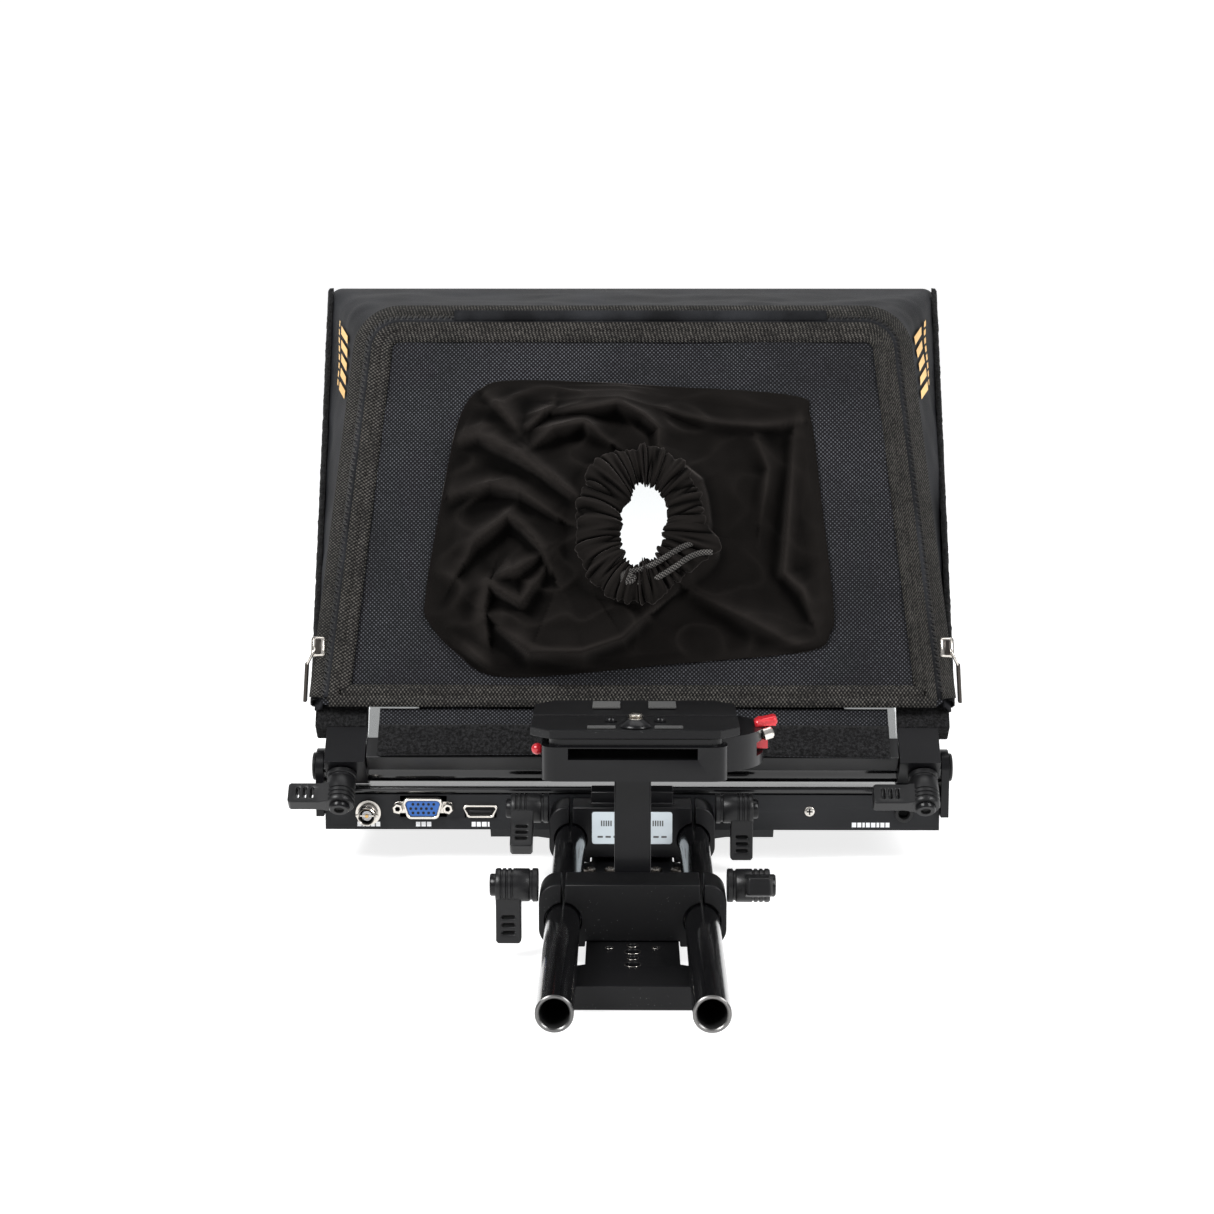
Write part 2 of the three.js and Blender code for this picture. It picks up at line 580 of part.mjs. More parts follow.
add('drawstring_upper', strand([
  [-3, 60, 36.2], [3, 60.5, 37.6], [9, 62.5, 39], [16, 66.5, 39.6], [23, 71, 39.2], [29, 74, 37.6], [34, 75, 36],
]), nylon, rearPlane);
add('drawstring_lower', strand([
  [1, 54, 36.2], [7, 54.5, 37.4], [14, 57.5, 38.6], [21, 62, 39], [28, 67, 38.4], [34, 69.5, 37], [39, 70, 35.8],
]), nylon, rearPlane);

// ---- zip sliders and their pull tabs ----
const SLIDER_S = 29.6; // the sliders' rest height up the rear panel's sides
const zipHalf = (s) => HOOD.rearLow[0] + (HOOD.rearHigh[0] - HOOD.rearLow[0]) * (s / rearLength);
const TAB = { x: 162.6, y: [222.8, 227.2], z: [80, 108], half: 0.6 };
SIDES.forEach(([side, sign]) => {
  const xs = [zipHalf(SLIDER_S) + 1, zipHalf(SLIDER_S) + 8.6].map((x) => sign * x).sort((a, b) => a - b);
  add(`${side}_zip_slider`, box(xs, [SLIDER_S - 6, SLIDER_S + 6], [-2.6, 1.8]), nickel, rearPlane);
  const tabXs = [TAB.x - TAB.half, TAB.x + TAB.half].map((x) => sign * x).sort((a, b) => a - b);
  add(`${side}_pull_tab`, box(tabXs, TAB.y, TAB.z), nickel);
});

export default teleprompter;
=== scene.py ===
import itertools
import json
import math

import bmesh
import bpy
import numpy as np
from mathutils import Matrix, Vector, noise


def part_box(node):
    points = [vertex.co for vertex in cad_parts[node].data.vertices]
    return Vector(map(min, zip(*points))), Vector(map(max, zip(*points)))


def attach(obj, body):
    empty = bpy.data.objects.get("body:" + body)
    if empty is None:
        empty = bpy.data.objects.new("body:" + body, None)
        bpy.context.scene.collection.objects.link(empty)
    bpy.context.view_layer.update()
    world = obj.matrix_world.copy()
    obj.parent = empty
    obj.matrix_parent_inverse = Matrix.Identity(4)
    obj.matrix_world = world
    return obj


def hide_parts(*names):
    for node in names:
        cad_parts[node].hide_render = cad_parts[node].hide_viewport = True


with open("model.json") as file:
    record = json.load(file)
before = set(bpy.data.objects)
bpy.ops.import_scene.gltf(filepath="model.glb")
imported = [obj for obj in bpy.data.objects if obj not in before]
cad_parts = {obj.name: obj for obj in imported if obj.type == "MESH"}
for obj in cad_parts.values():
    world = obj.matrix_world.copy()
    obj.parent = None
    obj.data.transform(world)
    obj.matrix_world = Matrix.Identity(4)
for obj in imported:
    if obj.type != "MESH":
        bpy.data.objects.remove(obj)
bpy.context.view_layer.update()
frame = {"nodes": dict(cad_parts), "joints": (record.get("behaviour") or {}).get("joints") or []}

MM = 0.001
SQUARE = math.sqrt(0.5)

# ---- places, in millimetres, worked out from the frame ----
JOINTS = {joint["name"]: joint for joint in frame["joints"]}
HINGE = Vector(JOINTS["frame_tilt"]["pos_m"]) / MM
ROD_X, ROD_R = 30, 7.5
ROD_LOW, ROD_HIGH = (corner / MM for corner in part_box("left_rod"))
ROD_Z = (ROD_LOW.z + ROD_HIGH.z) / 2
SHELL_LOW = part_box("monitor_rear_shell")[0] / MM
QR_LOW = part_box("quick_release_base")[0] / MM
PLATE_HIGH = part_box("quick_release_plate")[1] / MM

# The hood, in the tilted glass frame's own terms: x across, u up the frame, n square to it.
RAIL_TOP_N = 20.5
FOOT_N = RAIL_TOP_N + 0.4
FOOT_LOW, FOOT_HIGH = (158, 19), (170, 307)  # half width and u of the front edge's ends
REAR_LOW, REAR_HIGH = (155, 19, 26), (136, 207, 106)  # half width, u and n of the rear panel's ends
REAR_LENGTH = math.hypot(REAR_HIGH[1] - REAR_LOW[1], REAR_HIGH[2] - REAR_LOW[2])
REAR_SLOPE = math.atan2(REAR_HIGH[2] - REAR_LOW[2], REAR_HIGH[1] - REAR_LOW[1])
REAR_TURN = math.pi / 4 + REAR_SLOPE
CORNER_R = 18  # the rear panel's top corners


def on_frame(x, u, n):
    return Vector((x, HINGE.y + SQUARE * (u - n), HINGE.z + SQUARE * (u + n)))


REAR_ORIGIN = on_frame(0, REAR_LOW[1], REAR_LOW[2])
UP_REAR = Vector((0, math.cos(REAR_TURN), math.sin(REAR_TURN)))
OFF_REAR = Vector((0, -math.sin(REAR_TURN), math.cos(REAR_TURN)))


def on_rear(x, s, t=0.0):
    """A point on the hood's rear panel: x across, s up the panel, t out of it."""
    return REAR_ORIGIN + Vector((x, 0, 0)) + UP_REAR * s + OFF_REAR * t


# ---- camera, floor and light ----
def make_camera():
    data = bpy.data.cameras.new("camera")
    data.sensor_width = 36
    data.lens = 71.17
    data.clip_start = 0.05
    camera = bpy.data.objects.new("camera", data)
    camera.location = (-0.0023, -0.9557, 0.3129)
    camera.rotation_euler = (math.radians(90 - 8.88), 0, math.radians(0.5))
    bpy.context.scene.collection.objects.link(camera)
    bpy.context.scene.camera = camera


def area_light(name, place, aim, size, power):
    data = bpy.data.lights.new(name, "AREA")
    data.shape = "RECTANGLE"
    data.size, data.size_y = size
    data.energy = power
    light = bpy.data.objects.new(name, data)
    light.location = place
    light.rotation_euler = (Vector(aim) - Vector(place)).to_track_quat("-Z", "Y").to_euler()
    bpy.context.scene.collection.objects.link(light)


def make_studio():
    scene = bpy.context.scene
    scene.view_settings.view_transform = "Standard"
    make_world(scene)
    middle = (0, 0.2, 0.1)
    area_light("key_light", (-1.0, -0.8, 1.3), middle, (0.8, 0.6), 34)
    area_light("fill_light", (1.2, -0.7, 1.0), middle, (0.6, 0.8), 19)
    area_light("top_light", (0.1, 0.5, 1.6), middle, (1.4, 0.9), 9)
    floor = bpy.data.meshes.new("floor")
    half = 30
    corners = [(-half, -half, 0), (half, -half, 0), (half, half, 0), (-half, half, 0)]
    floor.from_pydata(corners, [], [(0, 1, 2, 3)])
    piece = bpy.data.objects.new("floor", floor)
    piece.location.z = -0.0006
    scene.collection.objects.link(piece)
    piece.data.materials.append(plain_floor())


def make_world(scene):
    """White paper behind the object, and a dimmer room elsewhere for the black parts to reflect."""
    world = bpy.data.worlds.new("studio")
    scene.world = world
    world.use_nodes = True
    nodes, links = world.node_tree.nodes, world.node_tree.links
    axes = nodes.new("ShaderNodeSeparateXYZ")
    links.new(nodes.new("ShaderNodeTexCoord").outputs["Generated"], axes.inputs["Vector"])
    ramp = nodes.new("ShaderNodeValToRGB")
    ramp.color_ramp.elements[0].position = 0.55
    ramp.color_ramp.elements[1].position = 0.8
    ramp.color_ramp.elements[0].color = (0.27, 0.27, 0.28, 1)
    ramp.color_ramp.elements[1].color = (1.0, 1.0, 1.0, 1)
    links.new(axes.outputs["Y"], ramp.inputs["Fac"])
    sky = nodes["Background"]
    links.new(ramp.outputs["Color"], sky.inputs["Color"])
    sky.inputs["Strength"].default_value = 1.1


# ---- materials ----
class Graph:
    """A new material and its node tree, with the few kinds of node that the materials use."""

    def __init__(self, name):
        self.material = bpy.data.materials.new(name)
        self.material.use_nodes = True
        tree = self.material.node_tree
        self.nodes, self.links = tree.nodes, tree.links
        self.shader = self.nodes["Principled BSDF"]
        self.place = self.node("ShaderNodeTexCoord").outputs["Object"]

    def node(self, kind, **inputs):
        """A node with its inputs set to values, or linked where they are another node's outputs."""
        made = self.nodes.new(kind)
        for name, value in inputs.items():
            self.join(made.inputs[name.replace("_", " ")], value)
        return made

    def join(self, socket, value):
        if isinstance(value, bpy.types.NodeSocket):
            self.links.new(value, socket)
        else:
            socket.default_value = value

    def finish(self, **inputs):
        """Sets the shader's inputs, named with _ for each space, and hands over the material."""
        for name, value in inputs.items():
            self.join(self.shader.inputs[name.replace("_", " ")], value)
        return self.material

    def noise(self, scale, detail=3.0, roughness=0.5, vector=None):
        texture = self.node("ShaderNodeTexNoise", Scale=scale, Detail=detail, Roughness=roughness)
        self.links.new(vector or self.place, texture.inputs["Vector"])
        return texture.outputs["Fac"]

    def ramp(self, factor, low, high, start=0.3, end=0.7):
        ramp = self.node("ShaderNodeValToRGB", Fac=factor)
        for element, position, colour in zip(ramp.color_ramp.elements, (start, end), (low, high)):
            element.position = position
            element.color = (*colour, 1)
        return ramp.outputs["Color"]

    def spread(self, value, low, high, start=0.0, end=1.0):
        ends = {"From_Min": start, "From_Max": end, "To_Min": low, "To_Max": high}
        made = self.node("ShaderNodeMapRange", Value=value, **ends)
        return made.outputs["Result"]

    def calculate(self, operation, first, second=None):
        made = self.node("ShaderNodeMath")
        made.operation = operation
        self.join(made.inputs[0], first)
        if second is not None:
            self.join(made.inputs[1], second)
        return made.outputs[0]

    def bump(self, height, distance, strength=0.5, under=None):
        made = self.node("ShaderNodeBump", Strength=strength, Distance=distance, Height=height)
        if under:
            self.links.new(under, made.inputs["Normal"])
        return made.outputs["Normal"]

    def weave(self, pitch):
        """A plain weave's height, from -1 to 1, with its threads pitch metres apart on the flat cloth."""
        axes = self.node("ShaderNodeSeparateXYZ", Vector=self.node("ShaderNodeUVMap").outputs["UV"])
        waves = []
        for side in ("X", "Y"):
            turns = self.calculate("MULTIPLY", axes.outputs[side], math.pi / pitch)
            waves.append(self.calculate("SINE", turns))
        return self.calculate("MULTIPLY", *waves)


def plain_floor():
    return Graph("floor_white").finish(
        Base_Color=(0.55, 0.55, 0.55, 1), Roughness=0.9, Specular_IOR_Level=0.0, Emission_Color=(1, 1, 1, 1),
        Emission_Strength=0.8)


def speckles(graph, colour, speckle):
    """Small pale dots, in some patches only, over a colour."""
    spots = graph.node("ShaderNodeTexVoronoi", Scale=700, Vector=graph.place)
    dots = graph.ramp(spots.outputs["Distance"], (1, 1, 1), (0, 0, 0), 0.05, 0.16)
    patches = graph.ramp(graph.noise(160, 2), (0, 0, 0), (1, 1, 1), 0.5, 0.62)
    mix = graph.node("ShaderNodeMix")
    mix.data_type = "RGBA"
    mix.inputs["B"].default_value = (*speckle, 1)
    graph.links.new(graph.calculate("MULTIPLY", dots, patches), mix.inputs["Factor"])
    graph.links.new(colour, mix.inputs["A"])
    return mix.outputs["Result"]


def hard_material(name, low, high, rough, metallic=0.0, grain=900, bump=0.00002, speckle=None, coat=0.0,
                  specular=0.5):
    """Metal or moulded plastic: mottled colour, fine surface grain, uneven gloss, and an optional speckle."""
    graph = Graph(name)
    broad = graph.noise(14, 4)
    colour = graph.ramp(broad, low, high)
    if speckle:
        colour = speckles(graph, colour, speckle)
    return graph.finish(
        Base_Color=colour, Roughness=graph.spread(broad, *rough), Metallic=metallic, Coat_Weight=coat,
        Coat_Roughness=0.08, Specular_IOR_Level=specular, Normal=graph.bump(graph.noise(grain, 2), bump, 0.6))


def cloth_material(name, low, high, pitch, bump=0.00025, patch=30, spread=0.5, sharp=2.6, uneven=0.0):
    """Woven nylon, its colour painted with a highlight on each thread crossing, stronger in some patches than
    in others.
    """
    graph = Graph(name)
    crest = graph.spread(graph.weave(pitch), 0, 1, -1)
    lit = graph.calculate("POWER", crest, sharp)
    if uneven:
        threads = graph.spread(graph.noise(950, 1), 1 - uneven, 1 + uneven, 0.35, 0.65)
        lit = graph.calculate("MULTIPLY", lit, threads)
    # painted sheen: broad patches where the painted thread highlights are brighter
    patches = graph.spread(graph.noise(patch, 3, 0.6), 1 - spread, 1 + spread, 0.35, 0.65)
    wrinkles = graph.bump(graph.noise(45, 4, 0.6), 0.0008, 0.25)
    return graph.finish(
        Base_Color=graph.ramp(graph.calculate("MULTIPLY", lit, patches), low, high, 0.05, 1.5), Roughness=0.8,
        Specular_IOR_Level=0.2, Normal=graph.bump(crest, bump, 0.7, wrinkles))


def coated_nylon(name):
    """The hood's smooth coated sides and top: charcoal, with soft streaks of sheen along the hood, painted
    into its colour.
    """
    graph = Graph(name)
    stretch = graph.node("ShaderNodeMapping", Scale=(1, 0.25, 1), Vector=graph.place)
    sheen_streaks = graph.noise(26, 4, 0.55, stretch.outputs["Vector"])
    folds = graph.bump(graph.noise(22, 3, 0.5), 0.0018, 0.6)
    # painted sheen: lighter streaks in the base colour, with the roughness following them
    return graph.finish(
        Base_Color=graph.ramp(sheen_streaks, (0.0045, 0.0047, 0.0055), (0.022, 0.023, 0.026), 0.35, 0.75),
        Roughness=graph.spread(sheen_streaks, 0.5, 0.65), Specular_IOR_Level=0.08,
        Normal=graph.bump(graph.weave(0.0006), 0.00008, 0.5, folds))


def velvet_material():
    """Short black-brown pile, with painted shade in the folds' valleys and painted highlight along their
    crests.
    """
    graph = Graph("velvet_pile")
    nap = graph.noise(48, 5, 0.65)
    painted_fold_light = graph.node("ShaderNodeAttribute")
    painted_fold_light.attribute_name = "painted_fold_light"
    # painted light and shade of the folds: darker in the valleys, lighter on the crests
    amount = graph.calculate("MULTIPLY", graph.spread(nap, 0.55, 1.15), painted_fold_light.outputs["Fac"])
    soft = graph.bump(nap, 0.0005, 0.3)
    return graph.finish(
        Base_Color=graph.ramp(amount, (0.0008, 0.0007, 0.0006), (0.0165, 0.0143, 0.0131), 0.0, 1.0),
        Roughness=0.9, Specular_IOR_Level=0.04, Sheen_Weight=0.26, Sheen_Roughness=0.3,
        Sheen_Tint=(0.42, 0.38, 0.36, 1), Normal=graph.bump(graph.noise(2600, 2), 0.00012, 0.6, soft))


def paint_fold_light(piece, heights, reach, depth, start=0.42):
    """Marks each point of a closed grid with painted light and shade, by how far it stands above the cloth
    within reach steps of it.
    """
    around = np.zeros_like(heights)
    steps = range(-reach, reach + 1, max(1, reach // 4))
    for step in steps:
        around += np.roll(heights, step, axis=1)
        rows = np.clip(np.arange(len(heights)) + step, 0, len(heights) - 1)
        around += heights[rows]
    values = np.clip(start + (heights - around / (2 * len(steps))) / depth, 0.04, 1.0).astype(np.float32)
    layer = piece.data.attributes.new("painted_fold_light", "FLOAT", "POINT")
    layer.data.foreach_set("value", values.ravel())


def fuzzy_material(name, low, high):
    """Loop pile of a hook-and-loop band: a tangle of small bright and dark spots."""
    graph = Graph(name)
    loops = graph.noise(700, 4, 0.75)
    return graph.finish(
        Base_Color=graph.ramp(loops, low, high, 0.42, 0.68), Roughness=0.95, Specular_IOR_Level=0.1,
        Sheen_Weight=0.04, Sheen_Roughness=0.6, Normal=graph.bump(loops, 0.0007, 0.9))


def mirror_glass():
    """The beamsplitter: clear glass with a faint grey tint and a thin mirror coat."""
    graph = Graph("tinted_mirror_glass")
    return graph.finish(
        Base_Color=(0.86, 0.88, 0.88, 1), Roughness=graph.spread(graph.noise(9, 3), 0.015, 0.05),
        Transmission_Weight=1, IOR=1.12, Coat_Weight=0.35, Coat_Roughness=0.02)


def make_materials():
    """Every material by its short name. Each hard one has its two colours and its range of roughness."""
    smooth_metal = {"bump": 0.000003, "grain": 500}
    hard = {
        "anodised": ("black_anodised", (0.0028, 0.0028, 0.0032), (0.006, 0.006, 0.007), (0.26, 0.36),
                     {"metallic": 0.05, "coat": 0.06, "specular": 0.22}),
        "speckled": ("speckled_black", (0.003, 0.003, 0.0035), (0.006, 0.006, 0.0065), (0.34, 0.46),
                     {"metallic": 0.05, "speckle": (0.09, 0.09, 0.09), "specular": 0.22}),
        "gloss": ("gloss_black_tube", (0.002, 0.002, 0.0025), (0.0035, 0.0035, 0.004), (0.12, 0.2),
                  {"metallic": 0.2, "bump": 0.0000015, "coat": 0.4}),
        "rim": ("bare_rim", (0.10, 0.10, 0.10), (0.20, 0.195, 0.19), (0.25, 0.4), {"metallic": 1.0}),
        "plastic": ("black_plastic", (0.0045, 0.0045, 0.005), (0.009, 0.009, 0.0095), (0.3, 0.42),
                    {"bump": 0.00004, "grain": 1400, "specular": 0.3}),
        "bezel": ("gloss_bezel", (0.004, 0.004, 0.0045), (0.007, 0.007, 0.0075), (0.18, 0.3),
                  {"bump": 0.00001, "coat": 0.25}),
        "charcoal": ("charcoal_coat", (0.009, 0.0095, 0.0105), (0.014, 0.0145, 0.016), (0.42, 0.55),
                     {"bump": 0.00003, "grain": 1100, "specular": 0.22}),
        "nickel": ("bright_nickel", (0.50, 0.47, 0.43), (0.72, 0.69, 0.64), (0.18, 0.32),
                   {"metallic": 1.0, **smooth_metal}),
        "dark_nickel": ("dark_nickel", (0.10, 0.09, 0.08), (0.22, 0.20, 0.18), (0.25, 0.4),
                        {"metallic": 1.0, **smooth_metal}),
        "gunmetal": ("gunmetal", (0.035, 0.031, 0.028), (0.07, 0.062, 0.056), (0.25, 0.4),
                     {"metallic": 0.9, **smooth_metal}),
        "rubber": ("grey_rubber", (0.035, 0.035, 0.035), (0.06, 0.06, 0.058), (0.7, 0.85), {"bump": 0.0001}),
        "red": ("red_anodised", (0.30, 0.008, 0.016), (0.60, 0.02, 0.03), (0.22, 0.35),
                {"metallic": 0.15, "coat": 0.3}),
        "blue": ("blue_plastic", (0.012, 0.075, 0.30), (0.022, 0.11, 0.38), (0.35, 0.5), {}),
        # Near black painted into holes, bores and recesses, standing in for the shade inside them.
        "recess_shade": ("painted_recess_shade", (0.0015, 0.0015, 0.0015), (0.003, 0.003, 0.003), (0.7, 0.9), {}),
        "white": ("white_print", (0.75, 0.76, 0.78), (0.85, 0.86, 0.88), (0.5, 0.6), {}),
        "label": ("pale_label", (0.55, 0.62, 0.66), (0.68, 0.74, 0.78), (0.4, 0.55), {}),
        "print": ("grey_print", (0.05, 0.05, 0.05), (0.12, 0.12, 0.12), (0.6, 0.7), {}),
        "gold": ("gold_print", (0.72, 0.40, 0.10), (0.95, 0.62, 0.22), (0.35, 0.5), {"metallic": 0.1}),
        "screen": ("screen_glass", (0.003, 0.003, 0.004), (0.005, 0.005, 0.0065), (0.1, 0.2), {"coat": 0.5}),
        "board": ("green_board", (0.01, 0.07, 0.03), (0.02, 0.12, 0.05), (0.4, 0.6), {}),
        "coil": ("zip_coil", (0.008, 0.008, 0.008), (0.022, 0.021, 0.020), (0.26, 0.38), {"bump": 0.000004}),
    }
    made = {short: hard_material(name, low, high, rough, **rest)
            for short, (name, low, high, rough, rest) in hard.items()}
    # Each cloth's second colour is the painted highlight on its thread crests.
    cloth = {
        "weave": ("ballistic_weave", (0.0011, 0.0013, 0.0022), (0.086, 0.089, 0.100), 0.00105,
                  {"patch": 11, "spread": 0.35, "sharp": 4.2, "uneven": 0.35}),
        "binding": ("grosgrain_binding", (0.0012, 0.0011, 0.0010), (0.092, 0.086, 0.077), 0.00092,
                    {"bump": 0.0006, "patch": 60, "spread": 0.25, "uneven": 0.6}),
        "tape": ("zip_tape", (0.003, 0.003, 0.0027), (0.085, 0.080, 0.073), 0.0008,
                 {"bump": 0.0004, "spread": 0.25, "uneven": 0.5}),
        "cord": ("braided_cord", (0.003, 0.003, 0.003), (0.16, 0.15, 0.14), 0.0008, {"bump": 0.0003}),
    }
    for short, (name, low, high, pitch, rest) in cloth.items():
        made[short] = cloth_material(name, low, high, pitch, **rest)
    made["coated"] = coated_nylon("coated_nylon")
    made["velvet"] = velvet_material()
    made["loops"] = fuzzy_material("loop_pile", (0.0010, 0.0010, 0.0011), (0.020, 0.020, 0.021))
    made["glass"] = mirror_glass()
    return made


# ---- making pieces ----
def link(name, mesh, materials):
    piece = bpy.data.objects.new(name, mesh)
    bpy.context.scene.collection.objects.link(piece)
    for material in materials:
        mesh.materials.append(material)
    return piece


def settle(piece, body, replaces=()):
    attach(piece, body)
    if replaces:
        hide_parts(*replaces)
    return piece


def mesh_of(work, name):
    mesh = bpy.data.meshes.new(name)
    work.to_mesh(mesh)
    work.free()
    return mesh


def solid_mesh(work, name, angle=35):
    """A closed bmesh as a mesh, its normals outward and its edges smooth below an angle in degrees."""
    bmesh.ops.recalc_face_normals(work, faces=work.faces)
    mesh = mesh_of(work, name)
    smooth(mesh, angle)
    return mesh


def smooth(mesh, angle=35):
    mesh.shade_smooth()
    sharp = math.radians(angle)
    work = bmesh.new()
    work.from_mesh(mesh)
    for edge in work.edges:
        edge.smooth = len(edge.link_faces) == 2 and edge.calc_face_angle(0) < sharp
    work.to_mesh(mesh)
    work.free()


def bevel(piece, width, segments=2, angle=32):
    modifier = piece.modifiers.new("edges", "BEVEL")
    modifier.width = width * MM
    modifier.segments = segments
    modifier.limit_method = "ANGLE"
    modifier.angle_limit = math.radians(angle)
    modifier.miter_outer = "MITER_ARC"
    modifier.use_clamp_overlap = True
    modifier.harden_normals = False


def refined(node, material, body, width=0.5, segments=2):
    """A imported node's own shape with its flat faces joined and its edges rounded."""
    mesh = frame["nodes"][node].data.copy()
    mesh.materials.clear()
    for name in [attribute.name for attribute in mesh.attributes if attribute.name.startswith("custom")]:
        mesh.attributes.remove(mesh.attributes[name])
    work = bmesh.new()
    work.from_mesh(mesh)
    bmesh.ops.remove_doubles(work, verts=work.verts, dist=2e-6)
    bmesh.ops.dissolve_limit(work, angle_limit=math.radians(1.0), verts=work.verts, edges=work.edges)
    work.to_mesh(mesh)
    work.free()
    smooth(mesh)
    piece = link(f"{node}_body", mesh, [material])
    if width:
        bevel(piece, width, segments)
    return settle(piece, body, [node])


def revolve(name, profile, origin, axis, materials, sides=48, marks=None):
    """A turned piece: profile is (radius, height) pairs along axis; marks is each band's material."""
    z = Vector(axis).normalized()
    x = z.orthogonal().normalized()
    y = z.cross(x)
    base = Vector(origin)
    work = bmesh.new()
    rings = []
    for radius, height in profile:
        if radius < 1e-6:
            rings.append([work.verts.new((base + z * height) * MM)])
            continue
        ring = []
        for i in range(sides):
            angle = 2 * math.pi * i / sides
            point = base + z * height + (x * math.cos(angle) + y * math.sin(angle)) * radius
            ring.append(work.verts.new(point * MM))
        rings.append(ring)
    for band, (low, high) in enumerate(zip(rings, rings[1:])):
        for i in range(sides if len(low) + len(high) > 2 else 0):
            k = (i + 1) % sides
            corners = [low[i % len(low)], low[k % len(low)], high[k % len(high)], high[i % len(high)]]
            face = work.faces.new(list(dict.fromkeys(corners)))
            face.material_index = marks[band] if marks else 0
    return link(name, solid_mesh(work, name, 40), materials)


def block(name, low, high, materials, width=0.4, basis=None, origin=(0, 0, 0)):
    """A bevelled block between two corners, in mm, placed through an optional basis."""
    turn = basis or Matrix.Identity(3)
    work = bmesh.new()
    bmesh.ops.create_cube(work, size=1)
    size = Vector(high) - Vector(low)
    middle = (Vector(high) + Vector(low)) / 2
    for vertex in work.verts:
        local = Vector([vertex.co[i] * size[i] + middle[i] for i in range(3)])
        vertex.co = (Vector(origin) + turn @ local) * MM
    piece = link(name, solid_mesh(work, name), materials)
    if width:
        bevel(piece, width)
    return piece


def merged(name, pieces):
    """Joins finished pieces, modifiers applied, into one mesh object."""
    view = bpy.context.evaluated_depsgraph_get()
    view.update()
    work = bmesh.new()
    materials = []
    for piece in pieces:
        final = piece.evaluated_get(view).to_mesh()
        slots = []
        for material in piece.data.materials:
            if material not in materials:
                materials.append(material)
            slots.append(materials.index(material))
        start = len(work.faces)
        work.from_mesh(final)
        work.faces.ensure_lookup_table()
        for face in work.faces[start:]:
            face.material_index = slots[face.material_index]
        piece.evaluated_get(view).to_mesh_clear()
    for piece in pieces:
        bpy.data.objects.remove(piece)
    return link(name, mesh_of(work, name), materials)


def grid_mesh(name, rows, materials, uv=None, closed=False):
    """A sheet through rows of points, with flat coordinates from uv or from its own measured lengths."""
    work = bmesh.new()
    layer = work.loops.layers.uv.new("UVMap")
    points = [[work.verts.new(Vector(p) * MM) for p in row] for row in rows]
    count = len(rows[0])
    if uv is None:
        uv = measured_uv(rows)
    last = count if closed else count - 1
    for j in range(len(rows) - 1):
        for i in range(last):
            k = (i + 1) % count
            corners = ((j, i, i), (j, k, i + 1), (j + 1, k, i + 1), (j + 1, i, i))
            face = work.faces.new([points[a][b] for a, b, c in corners])
            face.smooth = True
            for loop, (a, b, c) in zip(face.loops, corners):
                loop[layer].uv = uv[a][min(c, len(uv[a]) - 1)]
    return link(name, mesh_of(work, name), materials)


def measured_uv(rows):
    """Flat coordinates in metres, from the lengths along the middle row and up each column."""
    table = [[(0.0, 0.0)] * len(row) for row in rows]
    across = [0.0]
    middle = rows[len(rows) // 2]
    for first, second in zip(middle, middle[1:]):
        across.append(across[-1] + (Vector(second) - Vector(first)).length * MM)
    for i in range(len(middle)):
        up = 0.0
        for j in range(len(rows)):
            if j:
                up += (Vector(rows[j][i]) - Vector(rows[j - 1][i])).length * MM
            table[j][i] = (across[i], up)
    return table


def thicken(piece, thickness, offset=-1.0):
    modifier = piece.modifiers.new("cloth", "SOLIDIFY")
    modifier.thickness = thickness * MM
    modifier.offset = offset


# ---- base, rods, clamps and levers ----
def make_rods(mats):
    inner, rim, depth = 5.9, 0.45, 40
    length = ROD_HIGH.y - ROD_LOW.y
    profile = [(inner, depth), (inner, rim), (inner + rim, 0), (ROD_R - rim, 0), (ROD_R, rim),
               (ROD_R, length - rim), (ROD_R - rim, length), (inner + rim, length), (inner, length - rim),
               (inner, length - depth), (0, length - depth), (0, depth), (inner, depth)]
    # Mark 2, the bore's wall and the plug closing it, is near black painted as the shade inside the tube.
    marks = [2, 1, 1, 1, 0, 1, 1, 1, 2, 2, 2, 2]
    for side, sign in (("left", -1), ("right", 1)):
        piece = revolve(f"{side}_rod_tube", profile, (sign * ROD_X, ROD_LOW.y, ROD_Z), (0, 1, 0),
                        [mats["gloss"], mats["rim"], mats["recess_shade"]], 64, marks)
        settle(piece, "monitor", [f"{side}_rod"])


def lever_axes(axis, arm):
    z, x = Vector(axis), Vector(arm)
    return Matrix((x, z.cross(x), z)).transposed()


def make_lever(mats, name, origin, axis, arm):
    """Ratchet lever: ribbed hub, collar groove, flat arm with three finger slots, and a cap screw."""
    basis = lever_axes(axis, arm)
    place = Vector(origin)
    out = Vector(axis)
    hub = [(0, 0.5), (6.2, 0.5), (6.9, 0.5), (7.3, 0.9), (7.3, 2.8), (6.9, 3.1), (6.5, 3.2), (6.5, 4.0),
           (6.9, 4.2), (7.2, 4.6), (7.25, 10)]
    for k in range(3):
        z = 11.2 + 2.3 * k
        hub += [(7.25, z), (6.7, z + 0.3), (6.7, z + 0.8), (7.3, z + 1.1)]
    hub += [(7.3, 18.3), (6.8, 19), (5.2, 19), (5.2, 18.4), (0, 18.4)]
    body = revolve("hub", hub, place, out, [mats["plastic"]], 40)
    blade = arm_mesh(mats, basis, place)
    lever = merged(f"{name}_handle", [body, blade])
    settle(lever, f"{name}_lever", [f"{name}_lever"])
    cap = [(0, 18.6), (4.9, 18.6), (4.9, 20.9), (4.4, 21.5), (2.7, 21.5), (2.5, 21.3), (2.5, 20.0), (0, 20.0)]
    # The screw's socket, marks 1, is near black painted as its shade.
    marks = [0, 0, 0, 0, 0, 1, 1]
    screw = revolve(f"{name}_cap_screw", cap, place, out, [mats["anodised"], mats["recess_shade"]], 32, marks)
    settle(screw, f"{name}_lever", [f"{name}_lever_screw"])


